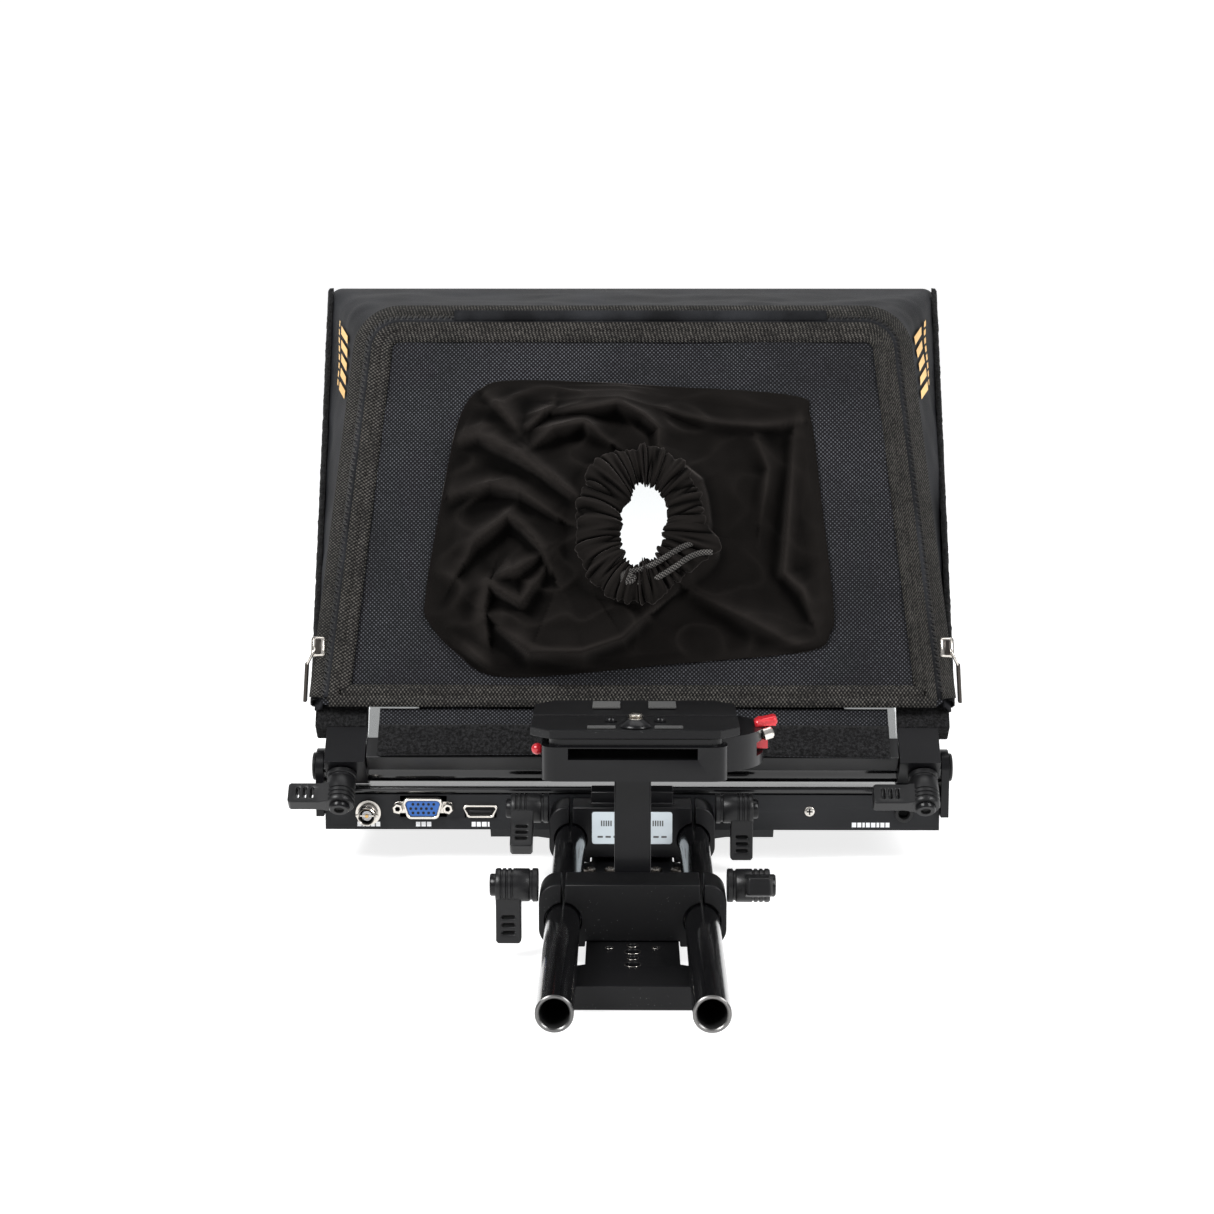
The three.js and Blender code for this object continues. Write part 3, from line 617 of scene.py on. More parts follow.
def arm_mesh(mats, basis, place):
    """The flat arm: wide along the axis, thin across, waisted at its root, with slots through it."""
    thin, root, tip, edge = 3.7, 7.9, 18.9, 2.6
    arm_end, slot_at, slot_step, slot_width = 25.4, 12.8, 3.5, 1.6
    bands = [0.0, 7.0, 9.5]
    for k in range(3):
        bands += [slot_at + k * slot_step, slot_at + k * slot_step + slot_width]
    bands += [arm_end - 1.2, arm_end]
    across = [root, root + edge, tip - edge, tip]
    rows, columns = len(bands) - 1, len(across) - 1
    work = bmesh.new()
    table = {}
    for side in (-1, 1):
        for i, x in enumerate(bands):
            y = side * (thin + max(0, 2 - i))
            for j, z in enumerate(across):
                clipped = 0.9 * ((j == 0) - (j == columns)) if i == rows else 0
                table[side, i, j] = work.verts.new((place + basis @ Vector((x, y, z + clipped))) * MM)
    is_slot = lambda i, j: j == 1 and 3 <= i <= 7 and i % 2 == 1

    def quad(*keys):
        work.faces.new([table[key] for key in keys])

    for i in range(rows):
        for j in range(columns):
            if not is_slot(i, j):
                quad((-1, i, j), (-1, i + 1, j), (-1, i + 1, j + 1), (-1, i, j + 1))
                quad((1, i, j), (1, i, j + 1), (1, i + 1, j + 1), (1, i + 1, j))
            else:
                edges = [((i, j), (i + 1, j)), ((i + 1, j), (i + 1, j + 1)), ((i + 1, j + 1), (i, j + 1)),
                         ((i, j + 1), (i, j))]
                for a, b in edges:
                    quad((-1, *a), (-1, *b), (1, *b), (1, *a))
    for i in range(rows):
        quad((-1, i, 0), (1, i, 0), (1, i + 1, 0), (-1, i + 1, 0))
        quad((-1, i, columns), (-1, i + 1, columns), (1, i + 1, columns), (1, i, columns))
    for j in range(columns):
        quad((-1, rows, j), (1, rows, j), (1, rows, j + 1), (-1, rows, j + 1))
        quad((-1, 0, j), (-1, 0, j + 1), (1, 0, j + 1), (1, 0, j))
    piece = link("arm", solid_mesh(work, "arm"), [mats["plastic"]])
    bevel(piece, 0.5, 2, 40)
    return piece


def make_levers(mats):
    lean = math.radians(50)
    down, leaned = (0, 0, -1), (0, -math.sin(lean), -math.cos(lean))
    near_y, far_y = 56.2, 197
    half, height = 40.5, 32.5
    make_lever(mats, "near_left", (-half, near_y, height), (-1, 0, 0), down)
    rise = math.radians(14)
    make_lever(mats, "near_right", (half, near_y, height), (1, 0, 0), (0, -math.cos(rise), math.sin(rise)))
    make_lever(mats, "far_left", (-half, far_y, height), (-1, 0, 0), leaned)
    make_lever(mats, "far_right", (half, far_y, height), (1, 0, 0), down)
    below = (0, -SQUARE, -SQUARE)
    for side, sign in (("left", -1), ("right", 1)):
        make_lever(mats, f"frame_{side}", on_frame(sign * 144, -10.6, 10), below, (-1, 0, 0))


def make_structure(mats):
    black = mats["anodised"]
    refined("base_plate", mats["speckled"], "base", 0.4)
    make_thread_rims(mats)
    make_mount_bolts(mats)
    refined("near_rod_clamp", mats["speckled"], "base", 0.5)
    refined("far_rod_clamp", black, "monitor", 0.5)
    refined("riser_bar", black, "base", 0.6)
    refined("monitor_mount_plate", black, "monitor", 0.5)
    refined("cross_tube", mats["gloss"], "monitor", 0)
    for side in ("left", "right"):
        refined(f"{side}_ear", black, "monitor", 0.5)
        refined(f"{side}_tube_cap", mats["plastic"], "monitor", 0.5)
        refined(f"{side}_hinge_block", black, "glass_frame", 0.6)
        refined(f"{side}_frame_rail", mats["loops"], "glass_frame", 0.8)
    refined("bottom_frame_rail", mats["plastic"], "glass_frame", 0.5)
    refined("top_frame_rail", mats["loops"], "glass_frame", 0.5)
    refined("beamsplitter_glass", mats["glass"], "glass_frame", 0.3)


def make_platform(mats):
    refined("quick_release_base", mats["anodised"], "base", 0.6, 3)
    refined("quick_release_plate", mats["speckled"], "camera_plate", 0.6, 3)
    for side in ("left", "right"):
        refined(f"{side}_camera_pad", mats["rubber"], "camera_plate", 0.3)
    make_plate_trim(mats)
    make_release_lever(mats)
    make_release_pin(mats)
    make_camera_screw(mats)


def make_release_pin(mats):
    """The red pin that holds the camera plate, with a ball for its outer end."""
    low, high = (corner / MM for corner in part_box("quick_release_pin"))
    x, y, z = low.x + 2.6, (low.y + high.y) / 2, (low.z + high.z) / 2
    ball = [(2.6 * math.sin(math.pi * k / 14), -2.6 * math.cos(math.pi * k / 14)) for k in range(12)]
    pin = revolve("pin_ball", ball + [(1.6, 2.3), (1.6, 9)], (x, y, z), (1, 0, 0), [mats["red"]], 40)
    settle(pin, "release_pin", ["quick_release_pin"])


def make_camera_screw(mats):
    """The camera's screw: a black head, and four turns of thread above the plate."""
    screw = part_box("camera_screw")
    middle = (screw[0] + screw[1]) / 2 / MM
    z = screw[0].z / MM
    profile = [(0, z), (7, z), (6.8, z + 0.8), (6.0, z + 1.4), (3.9, z + 3.2), (3.2, z + 3.3)]
    for k in range(4):
        profile += [(3.2, z + 3.5 + 0.4 * k), (2.8, z + 3.7 + 0.4 * k)]
    profile += [(3.0, z + 5.2), (2.6, z + 5.4), (0, z + 5.4)]
    marks = [0] * 5 + [1] * (len(profile) - 6)
    piece = revolve("camera_stud", profile, (middle.x, middle.y, 0), (0, 0, 1),
                    [mats["anodised"], mats["nickel"]], 32, marks)
    settle(piece, "camera_screw", ["camera_screw"])


def make_release_lever(mats):
    """The red lever with a black post and a slanted thumb piece, and the nickel knob on its near side."""
    lever = refined("quick_release_lever", mats["red"], "release_lever", 0.6, 3)
    lever.data.materials.append(mats["anodised"])
    arm_top, thumb_bottom = 90.2, 96.6
    for face in lever.data.polygons:
        heights = [lever.data.vertices[k].co.z / MM for k in face.vertices]
        if min(heights) < thumb_bottom - 1 and max(heights) > arm_top + 1:
            face.material_index = 1
    low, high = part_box("quick_release_lever")
    thumb_place = Vector((59.2, (low.y + high.y) / 2 / MM, 98.0))
    knob_place = (59.8, QR_LOW.y + 31.4, 93.4)
    lean = Matrix.Rotation(math.radians(-13), 3, "Y")
    thumb = block("release_thumb", (-5.2, -4, -1.9), (5.0, 4, 1.9), [mats["red"]], 1.2, lean, thumb_place)
    settle(thumb, "release_lever")
    knob = revolve("release_knob", [(0, -2.6), (2.0, -2.5), (2.7, -1.8), (2.7, 1.8), (2.0, 2.5), (0, 2.6)],
                   knob_place, (1, 0.15, 0.3), [mats["nickel"]], 32)
    settle(knob, "release_lever")


def make_thread_rims(mats):
    """Rims of the base plate's threaded holes."""
    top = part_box("base_plate")[1].z / MM
    rims = []
    for x, y, r in ((0, 14, 3.2), (0, 23, 2.2), (0, 32, 3.2), (0, 41, 2.2), (-10, 38, 1.5), (10, 38, 1.5)):
        profile = [(r + 0.5, -0.1), (r + 0.4, 0.12), (r, 0.1), (r - 0.3, -0.5), (r - 0.3, -3)]
        rims.append(revolve("rim", profile, (x, y, top), (0, 0, 1), [mats["nickel"], mats["anodised"]], 28,
                            [0, 0, 1, 1]))
    settle(merged("thread_rims", rims), "base")


def make_mount_bolts(mats):
    """Heads of the four bolts that hold the monitor's mounting plate."""
    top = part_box("monitor_mount_plate")[1].z / MM
    profile = [(0, 0.9), (1.2, 0.9), (1.4, 1.7), (2.4, 1.7), (3.0, 1.2), (3.0, -0.1)]
    bolts = [revolve("bolt", profile, (x, 171, top), (0, 0, 1), [mats["dark_nickel"]], 28)
             for x in (-20.5, -10.5, 11.5, 21.5)]
    settle(merged("mount_bolts", bolts), "monitor")


def make_plate_trim(mats):
    """The camera plate's near rubber strips and two studs."""
    top, black = PLATE_HIGH.z, mats["anodised"]
    pads = [block("pad", (x - 6.2, 61.5, top - 0.1), (x + 6.2, 65.5, top + 0.9), [mats["rubber"]], 0.3)
            for x in (-13.6, 15.6)]
    settle(merged("near_camera_pads", pads), "camera_plate")
    profile = [(0, 2.0), (1.6, 1.9), (2.2, 1.2), (2.3, 0), (2.9, 0), (2.9, -0.6)]
    studs = [revolve("stud", profile, (x, 78, top), (0, 0, 1), [black], 24) for x in (-9.6, 12.0)]
    settle(merged("plate_studs", studs), "camera_plate")


# ---- monitor ----
def prism(name, outline, y0, y1, materials, hole=None, width=0.25):
    """A plate standing square to Y: an (x, z) outline, with an optional hole of as many points."""
    work = bmesh.new()
    count = len(outline)

    def ring(points, y):
        return [work.verts.new(Vector((x, y, z)) * MM) for x, z in points]

    near, far = ring(outline, y0), ring(outline, y1)
    for i in range(count):
        k = (i + 1) % count
        work.faces.new((near[i], near[k], far[k], far[i]))
    if hole:
        near_in, far_in = ring(hole, y0), ring(hole, y1)
        for i in range(count):
            k = (i + 1) % count
            work.faces.new((near_in[k], near_in[i], far_in[i], far_in[k]))
            work.faces.new((near[k], near[i], near_in[i], near_in[k]))
            work.faces.new((far[i], far[k], far_in[k], far_in[i]))
    else:
        work.faces.new(near[::-1])
        work.faces.new(far)
    piece = link(name, solid_mesh(work, name), materials)
    if width:
        bevel(piece, width)
    return piece


def tapered(centre, wide, narrow, height, radius, corner_steps=4):
    """Rounded outline with a wide top edge and a narrower bottom one."""
    cx, cz = centre
    corners = [(-narrow, -height), (narrow, -height), (wide, height), (-wide, height)]
    points = []
    for k, (x, z) in enumerate(corners):
        inner_x = cx + (x - math.copysign(radius, x))
        inner_z = cz + (z - math.copysign(radius, z))
        for step in range(corner_steps + 1):
            angle = math.radians(180 + 90 * k + 90 * step / corner_steps)
            points.append((inner_x + radius * math.cos(angle), inner_z + radius * math.sin(angle)))
    return points


def make_monitor(mats):
    refined("monitor_rear_shell", mats["charcoal"], "monitor", 0.9, 3)
    refined("monitor_bezel", mats["bezel"], "monitor", 1.4, 3)
    refined("lcd_panel", mats["screen"], "monitor", 0.3)
    refined("monitor_board", mats["board"], "monitor", 0)
    make_video_socket(mats)
    make_input_socket(mats)
    make_digital_socket(mats)
    make_power_socket(mats)
    make_shell_screw(mats)
    make_socket_marks(mats)
    make_sticker(mats)


# The sockets are on the monitor's near face; what stands out of it has a height below 0.
PORT_FACE = SHELL_LOW.y
INWARD = (0, 1, 0)


def make_video_socket(mats):
    """The round video socket: pin, white insulator, shell, bayonet lug and nut."""
    x, face, z = -132, PORT_FACE, 25.7
    nickel = mats["nickel"]
    profile = [(0, -9.5), (0.8, -9.5), (0.8, -8.4), (2.5, -8.4), (2.5, -6.0), (3.5, -6.0), (3.7, -10.6),
               (4.1, -11), (4.6, -10.6), (4.6, -6.4), (5.2, -6.2), (5.2, -4.6), (4.6, -4.4), (4.6, -2.4),
               (6.3, -2.2), (6.3, 0), (0, 0)]
    # Marks 2, the gap between insulator and shell, are near black painted as the shade in it.
    marks = [3, 3, 1, 1, 2, 2] + [0] * 10
    coats = [nickel, mats["white"], mats["recess_shade"], mats["gold"]]
    barrel = revolve("video_barrel", profile, (x, face, z), INWARD, coats, 40, marks)
    lug = block("video_lug", (x - 5.6, face - 8.6, z - 0.6), (x + 5.6, face - 7.4, z + 0.6), [nickel], 0.3)
    settle(merged("video_socket_body", [barrel, lug]), "monitor", ["video_socket"])


def make_input_socket(mats):
    """The fifteen-pin socket: flange, shell, two jack nuts and a blue insert with its holes."""
    x, face, z = -104.5, PORT_FACE, 28.4
    nickel, recess_shade = mats["nickel"], mats["recess_shade"]
    flange = prism("d_flange", tapered((x, z), 15.0, 15.0, 3.0, 2.6), face - 1.2, face - 0.1, [nickel])
    shell = prism("d_shell", tapered((x, z), 9.9, 8.4, 5.3, 2.6), face - 4.6, face - 0.5, [nickel],
                  tapered((x, z), 8.6, 7.2, 4.0, 1.9), 0.35)
    profile = [(2.8, -1.1), (2.8, -4.6), (2.4, -5.0), (1.4, -5.0), (1.4, -2.4), (0, -2.4)]
    # The jacks' threaded bores are near black painted as their shade.
    jacks = [revolve("jack", profile, (x + offset, face, z), INWARD, [nickel, recess_shade], 6, [0, 0, 0, 1, 1])
             for offset in (-12.5, 12.5)]
    settle(merged("d_socket", [flange, shell] + jacks), "monitor", ["monitor_input_socket"])
    insert = prism("d_insert", tapered((x, z), 8.5, 7.1, 3.9, 1.8), face - 3.9, face - 1.3, [mats["blue"]])
    settle(insert, "monitor", ["monitor_input_insert"])
    # Small near-black discs on the insert, painted as the shade of its holes.
    pins = []
    profile = [(0, -4.05), (0.72, -4.05), (0.72, -3.6), (0, -3.6)]
    for row, offset in ((2.2, 0.5), (0, -0.6), (-2.2, 0.5)):
        for k in range(5):
            place = (x - 5.4 + 2.6 * k + offset, face, z + row)
            pins.append(revolve("pin", profile, place, INWARD, [recess_shade], 12))
    settle(merged("d_pin_holes", pins), "monitor")


def make_digital_socket(mats):
    """The small digital video socket: rim, well and tongue."""
    x, face, z = -75.9, PORT_FACE, 26.4
    rim = prism("hd_rim", tapered((x, z), 8.6, 7.0, 3.3, 1.6), face - 1.6, face + 2, [mats["nickel"]],
                tapered((x, z), 7.5, 6.0, 2.2, 1.1), 0.3)
    settle(rim, "monitor", ["digital_video_socket"])
    # The well is near black, painted as the shade inside the socket.
    inner = prism("hd_well", tapered((x, z), 7.6, 6.1, 2.3, 1.1), face - 0.2, face + 2, [mats["recess_shade"]],
                  width=0)
    tongue = block("hd_tongue", (x - 5.6, face - 1.0, z - 0.7), (x + 5.6, face + 1, z + 0.5),
                   [mats["plastic"]], 0.15)
    settle(merged("hd_inside", [inner, tongue]), "monitor")


def make_power_socket(mats):
    profile = [(4.6, 0), (4.6, -1.2), (4.2, -1.6), (3.0, -1.6), (2.8, -1.2), (2.8, 3), (0, 3)]
    # The bore, marks 1, is near black painted as its shade.
    marks = [0, 0, 0, 0, 1, 1]
    power = revolve("power_barrel", profile, (136, PORT_FACE, 25.7), INWARD,
                    [mats["plastic"], mats["recess_shade"]], 32, marks)
    settle(power, "monitor", ["power_socket"])


def make_shell_screw(mats):
    """The cross-head screw in the monitor's near face."""
    x, face, z = 88.8, PORT_FACE, 26.5
    profile = [(0, -1.2), (1.6, -1.15), (2.5, -0.7), (2.7, -0.2), (2.7, 0.2)]
    head = revolve("screw_head", profile, (x, face, z), INWARD, [mats["nickel"]], 24)
    # Two near-black blocks painted as the shade of the cross recess.
    cross = [block("cross", (x - a, face - 1.32, z - b), (x + a, face - 0.9, z + b), [mats["recess_shade"]], 0)
             for a, b in ((1.5, 0.35), (0.35, 1.5))]
    settle(merged("shell_screw_head", [head] + cross), "monitor", ["shell_screw"])


def make_socket_marks(mats):
    """Plain white dashes beneath the sockets."""
    face, gap = PORT_FACE, 0.55
    dashes = []
    for x, widths in ((-132, (2, 1, 2, 2, 2.2)), (-104.5, (2.2, 2.2, 2.2)), (-75.9, (2, 2, 2.4, 0.9)),
                      (119.5, (2.2, 2, 1.2, 2, 2.2, 1.4, 2, 2))):
        total = sum(widths) + gap * (len(widths) - 1)
        left = x - total / 2
        for width in widths:
            dashes.append(block("dash", (left, face - 0.06, 18.3), (left + width, face + 0.2, 20.7),
                                [mats["white"]], 0))
            left += width + gap
    settle(merged("socket_marks", dashes), "monitor")


def make_sticker(mats):
    """A pale sticker with plain grey bars, on the near face of the far clamp's tongue."""
    back = 186
    outline = tapered((0, 25.3), 19.6, 19.6, 8.0, 1.2)
    sticker = prism("sticker", outline, back - 0.12, back + 0.1, [mats["label"]], width=0)
    upright = [(side * 12.6 + (k - 2) * 1.15, 0.32, 26.2, 29.0) for side in (-1, 1) for k in range(5)]
    level = [(-15.6 + 3.9 * k, 1.3, 20.4, 21.3) for k in range(9)]
    bars = [block("bar", (x - half, back - 0.16, low), (x + half, back, high), [mats["print"]], 0)
            for x, half, low, high in upright + level]
    settle(merged("clamp_sticker", [sticker] + bars), "monitor")


# ---- hood ----
def rear_half(s):
    return REAR_LOW[0] + (REAR_HIGH[0] - REAR_LOW[0]) * s / REAR_LENGTH


def rear_outline(inset=0.0, low=0.0, side_steps=60, arc_steps=14, top_steps=60):
    """Points (x, s) up the left side, over the rounded top corners and down the right side."""
    top = REAR_LENGTH - inset
    lean = math.atan2(REAR_LOW[0] - REAR_HIGH[0], REAR_LENGTH)
    radius = max(CORNER_R - inset, 2)
    centre_s = top - radius
    half = rear_half(centre_s) - inset
    centre_x = half - radius
    left = []
    for k in range(side_steps):
        s = low + (centre_s - low) * k / side_steps
        left.append((-(rear_half(s) - inset), s))
    for k in range(arc_steps):
        angle = math.pi - lean - (math.pi / 2 - lean) * k / arc_steps
        left.append((-centre_x + radius * math.cos(angle), centre_s + radius * math.sin(angle)))
    across = [(-centre_x + 2 * centre_x * k / top_steps, top) for k in range(top_steps + 1)]
    return left + across + [(-x, s) for x, s in reversed(left)]


def front_outline(side_steps=60, arc_steps=14, top_steps=60):
    """Points (x, u) of the hood's other edge, on the glass frame, in step with the rear outline."""
    radius = 5
    span = FOOT_HIGH[0] - radius
    left = []
    for k in range(side_steps):
        f = k / side_steps
        u = FOOT_LOW[1] + (FOOT_HIGH[1] - radius - FOOT_LOW[1]) * f
        left.append((-(FOOT_LOW[0] + (FOOT_HIGH[0] - FOOT_LOW[0]) * f), u))
    for k in range(arc_steps):
        angle = math.pi - math.pi / 2 * k / arc_steps
        left.append((-span + radius * math.cos(angle), FOOT_HIGH[1] - radius + radius * math.sin(angle)))
    across = [(-span + 2 * span * k / top_steps, FOOT_HIGH[1]) for k in range(top_steps + 1)]
    return left + across + [(-x, u) for x, u in reversed(left)]


def hood_rows(columns=28):
    """The hood's cloth as rows of points, from the rear panel's edge to the glass frame."""
    rear = [on_rear(x, s, -0.6) for x, s in rear_outline(0.5)]
    front = [on_frame(x, u, FOOT_N) for x, u in front_outline()]
    rows = []
    for k in range(columns + 1):
        f = k / columns
        rows.append([a.lerp(b, f) for a, b in zip(rear, front)])
    return rows


def soften(rows, height, scale, seed, free=lambda i, j: 1.0):
    """Moves a sheet's points along its normals by smooth noise."""
    out = []
    for j, row in enumerate(rows):
        line = []
        for i, point in enumerate(row):
            a = row[min(i + 1, len(row) - 1)] - row[max(i - 1, 0)]
            b = rows[min(j + 1, len(rows) - 1)][i] - rows[max(j - 1, 0)][i]
            normal = a.cross(b)
            normal = normal.normalized() if normal.length > 1e-9 else Vector((0, 0, 1))
            lift = noise.fractal(point * scale + Vector((seed, 0, 0)), 0.8, 2.0, 3)
            line.append(point + normal * lift * height * free(i, j))
        out.append(line)
    return out


def make_hood_shell(mats):
    rows = hood_rows()
    last = len(rows) - 1
    free = lambda i, j: math.sin(math.pi * j / last)
    rows = soften(rows, 2.6, 0.016, 3.0, free)
    shell = grid_mesh("hood_shell", rows, [mats["coated"]])
    thicken(shell, 1.4, 1.0)
    settle(shell, "glass_frame", ["hood_left_side", "hood_right_side", "hood_top"])
    trims = make_side_marks(mats, rows) + make_hook_strips(mats)


def make_side_marks(mats, rows):
    """A plain gold mark printed on each side panel near its top: five even bars over a dashed line."""
    strokes = [(0.2 * k + 0.02, 0.2 * k + 0.14, 0.26, 0.80) for k in range(5)]
    strokes += [(0.12 * k, 0.12 * k + 0.08, 0.02, 0.12) for k in range(8)]
    side_steps = 60
    made = []
    for side, sign in (("left", -1), ("right", 1)):
        table = rows if sign < 0 else [row[::-1] for row in rows]
        proud = Vector((2.3 * sign, -0.6, 0.1))
        work = bmesh.new()
        for a0, a1, b0, b1 in strokes:
            quad = []
            for a, b in ((a0, b0), (a1, b0), (a1, b1), (a0, b1)):
                column = (0.985 - 0.19 * a) * side_steps
                row = (0.30 + 0.36 * (1 - b)) * (len(rows) - 1)
                i, j = int(column), int(row)
                first, second = (line[i].lerp(line[i + 1], column - i) for line in table[j:j + 2])
                quad.append(work.verts.new((first.lerp(second, row - j) + proud) * MM))
            work.faces.new(quad)
        name = f"{side}_side_mark"
        mark = link(name, mesh_of(work, name), [mats["gold"]])
        made.append(settle(mark, "glass_frame"))
    return made


# The sock's opening in the rear panel: its middle, and its edge as (x, s) points.
SOCK_CENTRE = (1, 91)
SOCK_EDGE = [(-62, 16), (14, 22), (85, 29), (97, 38), (99, 52), (94, 104), (89, 149), (81, 160), (14, 165),
             (-57, 168), (-77, 163), (-87, 147), (-94, 111), (-102, 56), (-100, 43), (-86, 28)]


def spline(p0, p1, p2, p3, f):
    """The point f of the way from p1 to p2 on a smooth curve through all four."""
    return 0.5 * ((2 * p1) + (p2 - p0) * f + (2 * p0 - 5 * p1 + 4 * p2 - p3) * f * f
                  + (3 * p1 - p0 - 3 * p2 + p3) * f ** 3)


def closed_spline(points, count):
    """Evenly counted points on a smooth closed curve through the given ones."""
    size = len(points)
    dense = []
    for i in range(size):
        four = [Vector((*points[(i + k - 1) % size], 0)) for k in range(4)]
        dense += [spline(*four, k / 12) for k in range(12)]
    lengths = [0.0]
    for a, b in zip(dense, dense[1:] + dense[:1]):
        lengths.append(lengths[-1] + (b - a).length)
    out = []
    for k in range(count):
        want = lengths[-1] * k / count
        i = max(j for j in range(len(dense)) if lengths[j] <= want)
        step = lengths[i + 1] - lengths[i]
        f = (want - lengths[i]) / step if step else 0
        point = dense[i].lerp(dense[(i + 1) % len(dense)], f)
        out.append((point.x, point.y))
    return out


def by_angle(points, centre, count):
    """Points of a closed outline at even angles round a centre."""
    out = []
    size = len(points)
    for k in range(count):
        angle = 2 * math.pi * k / count
        ray = (math.cos(angle), math.sin(angle))
        best = None
        for i in range(size):
            a = (points[i][0] - centre[0], points[i][1] - centre[1])
            b = (points[(i + 1) % size][0] - centre[0], points[(i + 1) % size][1] - centre[1])
            edge = (b[0] - a[0], b[1] - a[1])
            cross = ray[0] * -edge[1] + ray[1] * edge[0]
            if abs(cross) < 1e-9:
                continue
            reach = (a[0] * -edge[1] + a[1] * edge[0]) / cross
            along = (ray[0] * a[1] - ray[1] * a[0]) / cross
            if reach > 0 and -1e-6 <= along <= 1 + 1e-6 and (best is None or reach > best):
                best = reach
        out.append((centre[0] + ray[0] * best, centre[1] + ray[1] * best))
    return out


def make_rear_panel(mats):
    """The rear panel's cloth, in rings from its outline in to the sock's opening."""
    count, rings = 288, 22
    outer = by_angle(rear_outline(), SOCK_CENTRE, count)
    inner = by_angle(closed_spline(SOCK_EDGE, 200), SOCK_CENTRE, count)
    rows = []
    for k in range(rings + 1):
        f = k / rings
        rows.append([on_rear(a[0] + (b[0] - a[0]) * f, a[1] + (b[1] - a[1]) * f)
                     for a, b in zip(outer, inner)])
    edge = lambda i, j: min(1.0, 4 * j / rings)
    rows = soften(rows, 1.3, 0.02, 9.0, edge)
    uv = [[((p - REAR_ORIGIN).x * MM, (p - REAR_ORIGIN).dot(UP_REAR) * MM) for p in row + row[:1]]
          for row in rows]
    panel = grid_mesh("rear_panel_cloth", rows, [mats["weave"]], uv, closed=True)
    thicken(panel, 1.4, 0.0)
    settle(panel, "glass_frame", ["hood_rear_panel"])
    make_edges(mats)


def ribbon(name, path, half, thick, material, lift=0.0, crown=0.25):
    """A flat band along (x, s) points on the rear panel, slightly crowned across."""
    rows = []
    steps = [-1, -0.96, -0.6, 0, 0.6, 0.96, 1]
    for i, (x, s) in enumerate(path):
        before, after = path[max(i - 1, 0)], path[min(i + 1, len(path) - 1)]
        along = Vector((after[0] - before[0], after[1] - before[1])).normalized()
        side = Vector((-along.y, along.x))
        row = []
        for k in steps:
            height = lift + thick * (1 - abs(k) ** 6) + crown * (1 - k * k)
            row.append(on_rear(x + side.x * half * k, s + side.y * half * k, height))
        rows.append(row)
    piece = grid_mesh(name, rows, [material])
    thicken(piece, thick, -1.0)
    return piece


def make_edges(mats):
    """Binding round the rear panel, the zip's two tapes, its coil and the zip cover."""
    bands = []
    for name, inset, low in (("outer", 5.9, 2.6), ("inner", 10.6, 7.3)):
        path = rear_outline(inset, low)
        bands.append(ribbon(f"binding_{name}", path, 2.4, 1.0, mats["binding"], 0.8, 0.35))
    for name, s, inset in (("outer", 2.6, 4), ("inner", 7.3, 10)):
        half = int(REAR_LOW[0] - inset)
        path = [(k, s) for k in range(-half, half + 1, 2)]
        bands.append(ribbon(f"foot_{name}", path, 2.4, 1.0, mats["binding"], 0.78, 0.35))
    binding = settle(merged("panel_binding", bands), "glass_frame")
    inner = ribbon("zip_tape_inner", rear_outline(2.3, 4), 1.4, 0.5, mats["coated"], 0.9, 0.2)
    outer = ribbon("zip_tape_outer", rear_outline(-2.8, 4), 2.9, 0.9, mats["tape"], 0.3, 0.6)
    tapes = settle(merged("zip_tapes", [inner, outer]), "glass_frame")
    path = [(k, REAR_LENGTH + 0.4) for k in range(-92, 101, 4)]
    cover = ribbon("zip_cover", path, 2.3, 0.7, mats["coated"], 1.9, 0.9)
    settle(cover, "glass_frame")
    return [binding, tapes, make_coil(mats), cover]


def make_hook_strips(mats):
    """Fuzzy hook-and-loop edging down the hood's front edge on each side."""
    steps = 160
    section = ((0.2, -0.2), (1.8, 0.0), (2.7, 1.6), (2.5, 4.2), (1.4, 6.0), (-0.6, 6.3))
    low_u, high_u = FOOT_LOW[1] + 3, FOOT_HIGH[1] - 4
    made = []
    for side, sign in (("left", -1), ("right", 1)):
        rows = []
        for i in range(steps + 1):
            f = i / steps
            u = low_u + (high_u - low_u) * f
            x = FOOT_LOW[0] + (FOOT_HIGH[0] - FOOT_LOW[0]) * f
            row = []
            for k, (out, up) in enumerate(section):
                fuzz = 0.45 * noise.noise(Vector((i * 1.9, k * 2.3, 5 + sign)))
                row.append(on_frame(sign * (x + out + fuzz), u, FOOT_N + up + fuzz))
            rows.append(row)
        strip = grid_mesh(f"{side}_hook_strip", rows, [mats["loops"]])
        thicken(strip, 0.6, 0.0)
        made.append(settle(strip, "glass_frame"))
    return made


